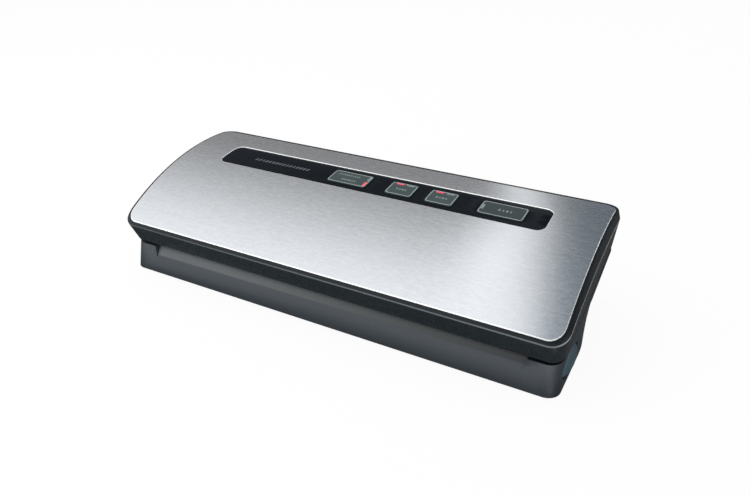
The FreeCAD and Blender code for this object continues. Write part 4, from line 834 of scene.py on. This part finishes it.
def pressureStrip():
    mesh = bmesh.new()
    half, reach, corner = pressBar["length"] / 2, pressBar["depth"] / 2, pressBar["corner"]
    turns = [math.pi / 2 * k / pressBar["cornerSteps"] for k in range(pressBar["cornerSteps"] + 1)]
    ends = [(half - corner + corner * math.cos(t), reach - corner + corner * math.sin(t)) for t in turns]
    stations = [(-x, wide) for x, wide in ends] + ends[::-1]
    rings = []
    for x, wide in stations:
        ring = [(-wide, pressBar["high"]), (wide, pressBar["high"])]
        for k in range(pressBar["steps"] + 1):
            t = 1 - 2 * k / pressBar["steps"]
            wave = pressBar["ridge"] * (1 + math.cos(2 * math.pi * pressBar["ridges"] * t)) / 2
            edge = pressBar["round"] * t ** pressBar["roundPower"]
            ring.append((wide * t, pressBar["low"] + wave + edge))
        rings.append([mesh.verts.new((x, pressBar["middle"] + v, w)) for v, w in ring])
    for one, two in zip(rings, rings[1:]):
        for k in range(len(one)):
            mesh.faces.new((one[k - 1], one[k], two[k], two[k - 1]))
    mesh.faces.new(rings[0])
    mesh.faces.new(rings[-1][::-1])
    bmesh.ops.transform(mesh, matrix=deckFrame, verts=mesh.verts[:])
    piece("pressureStrip", mesh, "pressure_strip", "lid", pressBar["crease"])


pressureStrip()
print("pressure strip made")


# the housing, with the ramp's front edge lower on the front wall than in the solid

ramp = {"edge": (-66.7, 19.7), "lower": 3.8, "lean": 0.226, "near": 0.3, "soft": 0.5, "crease": 34}
softShape = {"segments": 3, "angle": 35}
weldGap = 0.002


def copied(name):  # a node's mesh, merged, in millimetres
    mesh = bmesh.new()
    mesh.from_mesh(nodes[name].data)
    bmesh.ops.scale(mesh, vec=(1 / mm, 1 / mm, 1 / mm), verts=mesh.verts[:])
    bmesh.ops.remove_doubles(mesh, verts=mesh.verts[:], dist=weldGap)
    return mesh


def softEdge(thing, width):
    step = thing.modifiers.new("softEdges", "BEVEL")
    step.width = width * mm
    step.segments = softShape["segments"]
    step.limit_method = "ANGLE"
    step.angle_limit = math.radians(softShape["angle"])
    step.harden_normals = True


def baseHousing():
    mesh = copied("base_housing")
    moved = [v for v in mesh.verts if (v.co.yz - Vector(ramp["edge"])).length < ramp["near"]]
    for v in moved:
        v.co += Vector((0, -ramp["lean"] * ramp["lower"], -ramp["lower"]))
    softEdge(piece("baseHousing", mesh, "base_housing", "base", ramp["crease"]), ramp["soft"])
    print("housing made, ramp edge points lowered:", len(moved))


baseHousing()


# the return springs, each copied from the frame into a mesh of its own

spring = {"travel": 3, "crease": 60, "kept": {"left": 1, "right": 0}}  # kept: the end of its box that stays
for side, end in spring["kept"].items():
    node = f"release_spring_{side}"
    coil = piece(f"releaseSpring.{side}", copied(node), node, "base", spring["crease"])
    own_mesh(coil)
print("springs made")


# what stays as the frame has it: welded and smoothed, with soft edges, in its own finish

def weldTree():
    tree, given = nodeTree("weldAndSmooth", {"Distance": weldGap * mm, "Angle": 0.6})
    weld = add(tree, "GeometryNodeMergeByDistance",
               {"Geometry": given["Geometry"], "Distance": given["Distance"]})
    smooth = add(tree, "GeometryNodeSetShadeSmooth", {"Geometry": weld, "Shade Smooth": True})
    bend = add(tree, "GeometryNodeInputMeshEdgeAngle")
    flat = add(tree, "FunctionNodeCompare", {0: bend, 1: given["Angle"]}, operation="LESS_EQUAL")
    edges = add(tree, "GeometryNodeSetShadeSmooth", {"Geometry": smooth, "Shade Smooth": flat}, domain="EDGE")
    add(tree, "NodeGroupOutput", {0: edges})
    return tree


welded = weldTree()
softEdges = {"release_button_left": 0.2, "release_button_right": 0.2, "base_plate": 0.3,
             "vacuum_key": 0.25, "food_key": 0.25, "pump_key": 0.25, "seal_key": 0.25, "rubber_feet": 0.4,
             "cord_gland": 0.3, "lid_frame": 0.3, "sealing_deck": 0.3, "heater_bar": 0.3}
lampSplit = {"vacuum": (1, strip["middle"]), "food": (0, keys["food"]["x"]), "pump": (0, keys["pump"]["x"]),
             "seal": (0, 0)}  # the axis along which lit and unlit windows divide, and where
lightLooks = {f"{key}_lights": frostedPolycarbonate(key, axis, level * mm)
              for key, (axis, level) in lampSplit.items()}
for name, node in nodes.items():
    if node.hide_render:
        continue
    step = node.modifiers.new("weld", "NODES")
    step.node_group = welded
    if name in softEdges:
        softEdge(node, softEdges[name])
    node.data.materials.clear()
    node.data.materials.append(lightLooks.get(name) or looks[slotOf[name]])
print("frame nodes finished")


# camera, floor and light, in metres

view = {"azimuth": 29.21, "elevation": 29.49, "roll": -0.84, "focal": 679.69, "width": 750, "sensor": 36,
        "place": (250.4, -420.5, 307.4)}  # angles in degrees, focal length and width in pixels, place in mm


def placeCamera():
    turn, rise, roll = (math.radians(view[k]) for k in ("azimuth", "elevation", "roll"))
    back = Vector((math.sin(turn) * math.cos(rise), -math.cos(turn) * math.cos(rise), math.sin(rise)))
    right = Vector((math.cos(turn), math.sin(turn), 0))
    up = back.cross(right)
    rolledRight = right * math.cos(roll) + up * math.sin(roll)
    rolledUp = up * math.cos(roll) - right * math.sin(roll)
    data = bpy.data.cameras.new("camera")
    data.sensor_width = view["sensor"]
    data.lens = view["focal"] / view["width"] * view["sensor"]
    camera = placed("camera", data)
    facing = Matrix((rolledRight, rolledUp, back)).transposed().to_4x4()
    camera.matrix_world = Matrix.Translation(Vector(view["place"]) * mm) @ facing
    scene.camera = camera


white = (1, 1, 1, 1)
room = {"floorHalf": 6, "floorShade": "f4f4f4", "floorRough": 0.9, "floorWhite": 0.93, "light": 0.8}


def seenRays(tree):  # 1 for the camera, reflections and clear pieces, which all see the white room
    path = add(tree, "LightPath").outputs
    seen = add(tree, "Math", {0: path["Is Camera Ray"], 1: path["Is Glossy Ray"]}, operation="MAXIMUM")
    return add(tree, "Math", {0: seen, 1: path["Is Transmission Ray"]}, operation="MAXIMUM")


def onStage(name, mesh, material):
    thing = placed(name, baked(name, mesh))
    thing.data.materials.append(material)
    return thing


def whiteFloor():
    mesh = bmesh.new()
    bmesh.ops.create_grid(mesh, x_segments=2, y_segments=2, size=room["floorHalf"])
    material, tree, shader = blank("whiteCard", {
        "Base Color": tone(room["floorShade"]), "Roughness": room["floorRough"], "Specular IOR Level": 0.0})
    share = add(tree, "Math", {0: seenRays(tree), 1: room["floorWhite"]}, operation="MULTIPLY")
    glow = add(tree, "Emission", {"Color": white, "Strength": 1.0})
    mix = add(tree, "MixShader", {0: share, 1: shader, 2: glow})
    feed(tree, tree.nodes["Material Output"], {"Surface": mix})
    onStage("floor", mesh, material)


def whiteWorld():
    scene.world = bpy.data.worlds.new("studio")
    scene.world.use_nodes = True
    tree = scene.world.node_tree
    lit = feed(tree, tree.nodes["Background"], {"Color": white, "Strength": room["light"]})
    seen = add(tree, "Background", {"Color": white, "Strength": 1.0})
    mix = add(tree, "MixShader", {0: seenRays(tree), 1: lit, 2: seen})
    feed(tree, tree.nodes["World Output"], {"Surface": mix})


softBoxes = {
    "overheadSoftBox": {"place": (-0.65, -0.15, 1.1), "target": (-0.1, 0, 0.05),
                        "size": (1, 1.1), "power": 5},
    "frontStrip": {"place": (-0.75, -0.85, 0.28), "target": (-0.1, 0, 0.02), "size": (0.9, 0.3), "power": 5},
}


def placeLamps():
    for name, box in softBoxes.items():
        data = bpy.data.lights.new(name, "AREA")
        data.shape = "RECTANGLE"
        data.size, data.size_y = box["size"]
        data.energy = box["power"]
        lamp = placed(name, data)
        lamp.location = box["place"]
        lamp.visible_glossy = False  # the cards make the reflections
        aim = Vector(box["target"]) - Vector(box["place"])
        lamp.rotation_euler = aim.to_track_quat("-Z", "Y").to_euler()


# cards that only reflections see

bounce = {"left": -1.9, "right": 1.3, "front": -1.6, "rear": 1.7, "low": 0.1, "high": 0.9,
          "fade": (1.7, -0.2), "fall": 3.1, "levels": (0.25, 1.5), "bend": (0.065, 0.02),
          "band": 0.95, "bandPlace": -0.105, "bandHalf": 0.13, "bandRise": (-0.2, 0.3),
          "flag": (-0.015, 0.035), "flagLevels": (0.18, 0.26), "flagHue": (0.87, 1, 1.14, 1)}
rightCards = {"rightEdgeCard": {"ends": ((0.55, 1.1), (1.3, 0.45)), "heights": (0.62, 0.88), "level": 3.0},
              "rightFlag": {"ends": ((0.4, 1.3), (1.5, 0.2)), "heights": (0.0, 0.6), "level": 0.12}}
table = {"near": -0.06, "side": 0.12, "height": 0.001, "left": -1.5, "right": 1.2, "front": -1.6,
         "sideEnd": 1.6, "rear": 2.2, "fade": (-0.1, -0.2), "levels": (0.05, 1.6),
         "corner": (0.12, 0.2), "cornerGain": 2.2, "patch": (0.2, -0.085, 0), "patchRadius": 0.014,
         "patchLevel": 2.5}


def glowing(name, level):
    material, tree, shader = blank(name, {})
    tree.nodes.remove(shader)
    glow = add(tree, "Emission", {"Color": white, "Strength": level})
    feed(tree, tree.nodes["Material Output"], {"Surface": glow})
    return material, tree, glow


def gradedCard():  # bright to the front, with one bright band along Y and a dark flag right of it
    material, tree, glow = glowing("gradedCard", 1.0)
    x, y = axes(tree)[:2]
    bow = add(tree, "Math", {0: y, (1, 2): bounce["bend"]}, operation="MULTIPLY_ADD")
    along = add(tree, "Math", {0: bow, 1: y, 2: x}, operation="MULTIPLY_ADD")
    flag = add(tree, "MapRange", {"Value": along, fromSpan: bounce["flag"]}, interpolation_type="SMOOTHSTEP")
    off = add(tree, "Math", {0: along, 1: bounce["bandPlace"]}, operation="SUBTRACT")
    away = add(tree, "Math", {0: off}, operation="ABSOLUTE")
    rise = add(tree, "MapRange", {"Value": y, fromSpan: bounce["bandRise"], "To Max": bounce["band"]})
    band = add(tree, "MapRange", {"Value": away, fromSpan: (bounce["bandHalf"], 0.0)},
               interpolation_type="SMOOTHSTEP")
    near = add(tree, "MapRange", {"Value": y, fromSpan: bounce["fade"]})
    fall = add(tree, "Math", {0: near, 1: bounce["fall"]}, operation="POWER")
    plain = add(tree, "MapRange", {"Value": fall, toSpan: bounce["levels"]})
    lit = add(tree, "Math", {0: band, 1: rise, 2: plain}, operation="MULTIPLY_ADD")
    dim = add(tree, "MapRange", {"Value": near, toSpan: bounce["flagLevels"]})
    level = add(tree, "Mix", {0: flag, 2: lit, 3: dim})
    hue = add(tree, "Mix", {0: flag, shadePair: (white, bounce["flagHue"])}, data_type="RGBA")
    feed(tree, glow, {"Strength": level, "Color": hue})
    return material


def tableCard():  # dark next to the object, brighter away from it and at the right corner
    material, tree, glow = glowing("tableCard", 1.0)
    x, y = axes(tree)[:2]
    away = add(tree, "MapRange", {"Value": y, fromSpan: table["fade"], toSpan: table["levels"]})
    corner = add(tree, "MapRange", {"Value": x, fromSpan: table["corner"],
                                    toSpan: (1.0, table["cornerGain"])})
    place = add(tree, "TexCoord")
    off = add(tree, "VectorMath", {0: place.outputs["Object"], 1: table["patch"]}, operation="DISTANCE")
    patch = add(tree, "MapRange", {"Value": off, fromSpan: (table["patchRadius"], 0.0),
                                   "To Max": table["patchLevel"]}, interpolation_type="SMOOTHSTEP")
    total = add(tree, "Math", {0: away, 1: corner, 2: patch}, operation="MULTIPLY_ADD")
    feed(tree, glow, {"Strength": total})
    return material


def cardOnly(name, corners, material):
    mesh = bmesh.new()
    mesh.faces.new([mesh.verts.new(c) for c in corners])
    card = onStage(name, mesh, material)
    for ray in ("camera", "diffuse", "shadow", "transmission", "volume_scatter"):
        setattr(card, f"visible_{ray}", False)


def levelCorners(left, right, near, far, height):
    return [(left, near, height), (right, near, height), (right, far, height), (left, far, height)]


def uprightCorners(start, stop, low, high):
    return [(*start, low), (*stop, low), (*stop, high), (*start, high)]


def reflectionCards():
    graded = gradedCard()
    left, right, near, far, low, high = (bounce[k] for k in ("left", "right", "front", "rear", "low", "high"))
    cardOnly("bounceCard", levelCorners(left, right, near, far, high), graded)
    cardOnly("rearCard", uprightCorners((left, far), (right, far), low, high), graded)
    for name, card in rightCards.items():  # bright for edges turned up to the right, dark below
        cardOnly(name, uprightCorners(*card["ends"], *card["heights"]), glowing(name, card["level"])[0])
    dark = tableCard()
    near, height = table["near"], table["height"]
    front = levelCorners(table["left"], table["right"], table["front"], near, height)
    cardOnly("frontTableCard", front, dark)
    for name, way in (("rightTableCard", 1), ("leftTableCard", -1)):
        corners = levelCorners(way * table["side"], way * table["sideEnd"], near, table["rear"], height)
        cardOnly(name, corners, dark)


placeCamera()
whiteFloor()
whiteWorld()
placeLamps()
reflectionCards()
scene.view_settings.view_transform = "Standard"
print("camera and light placed")
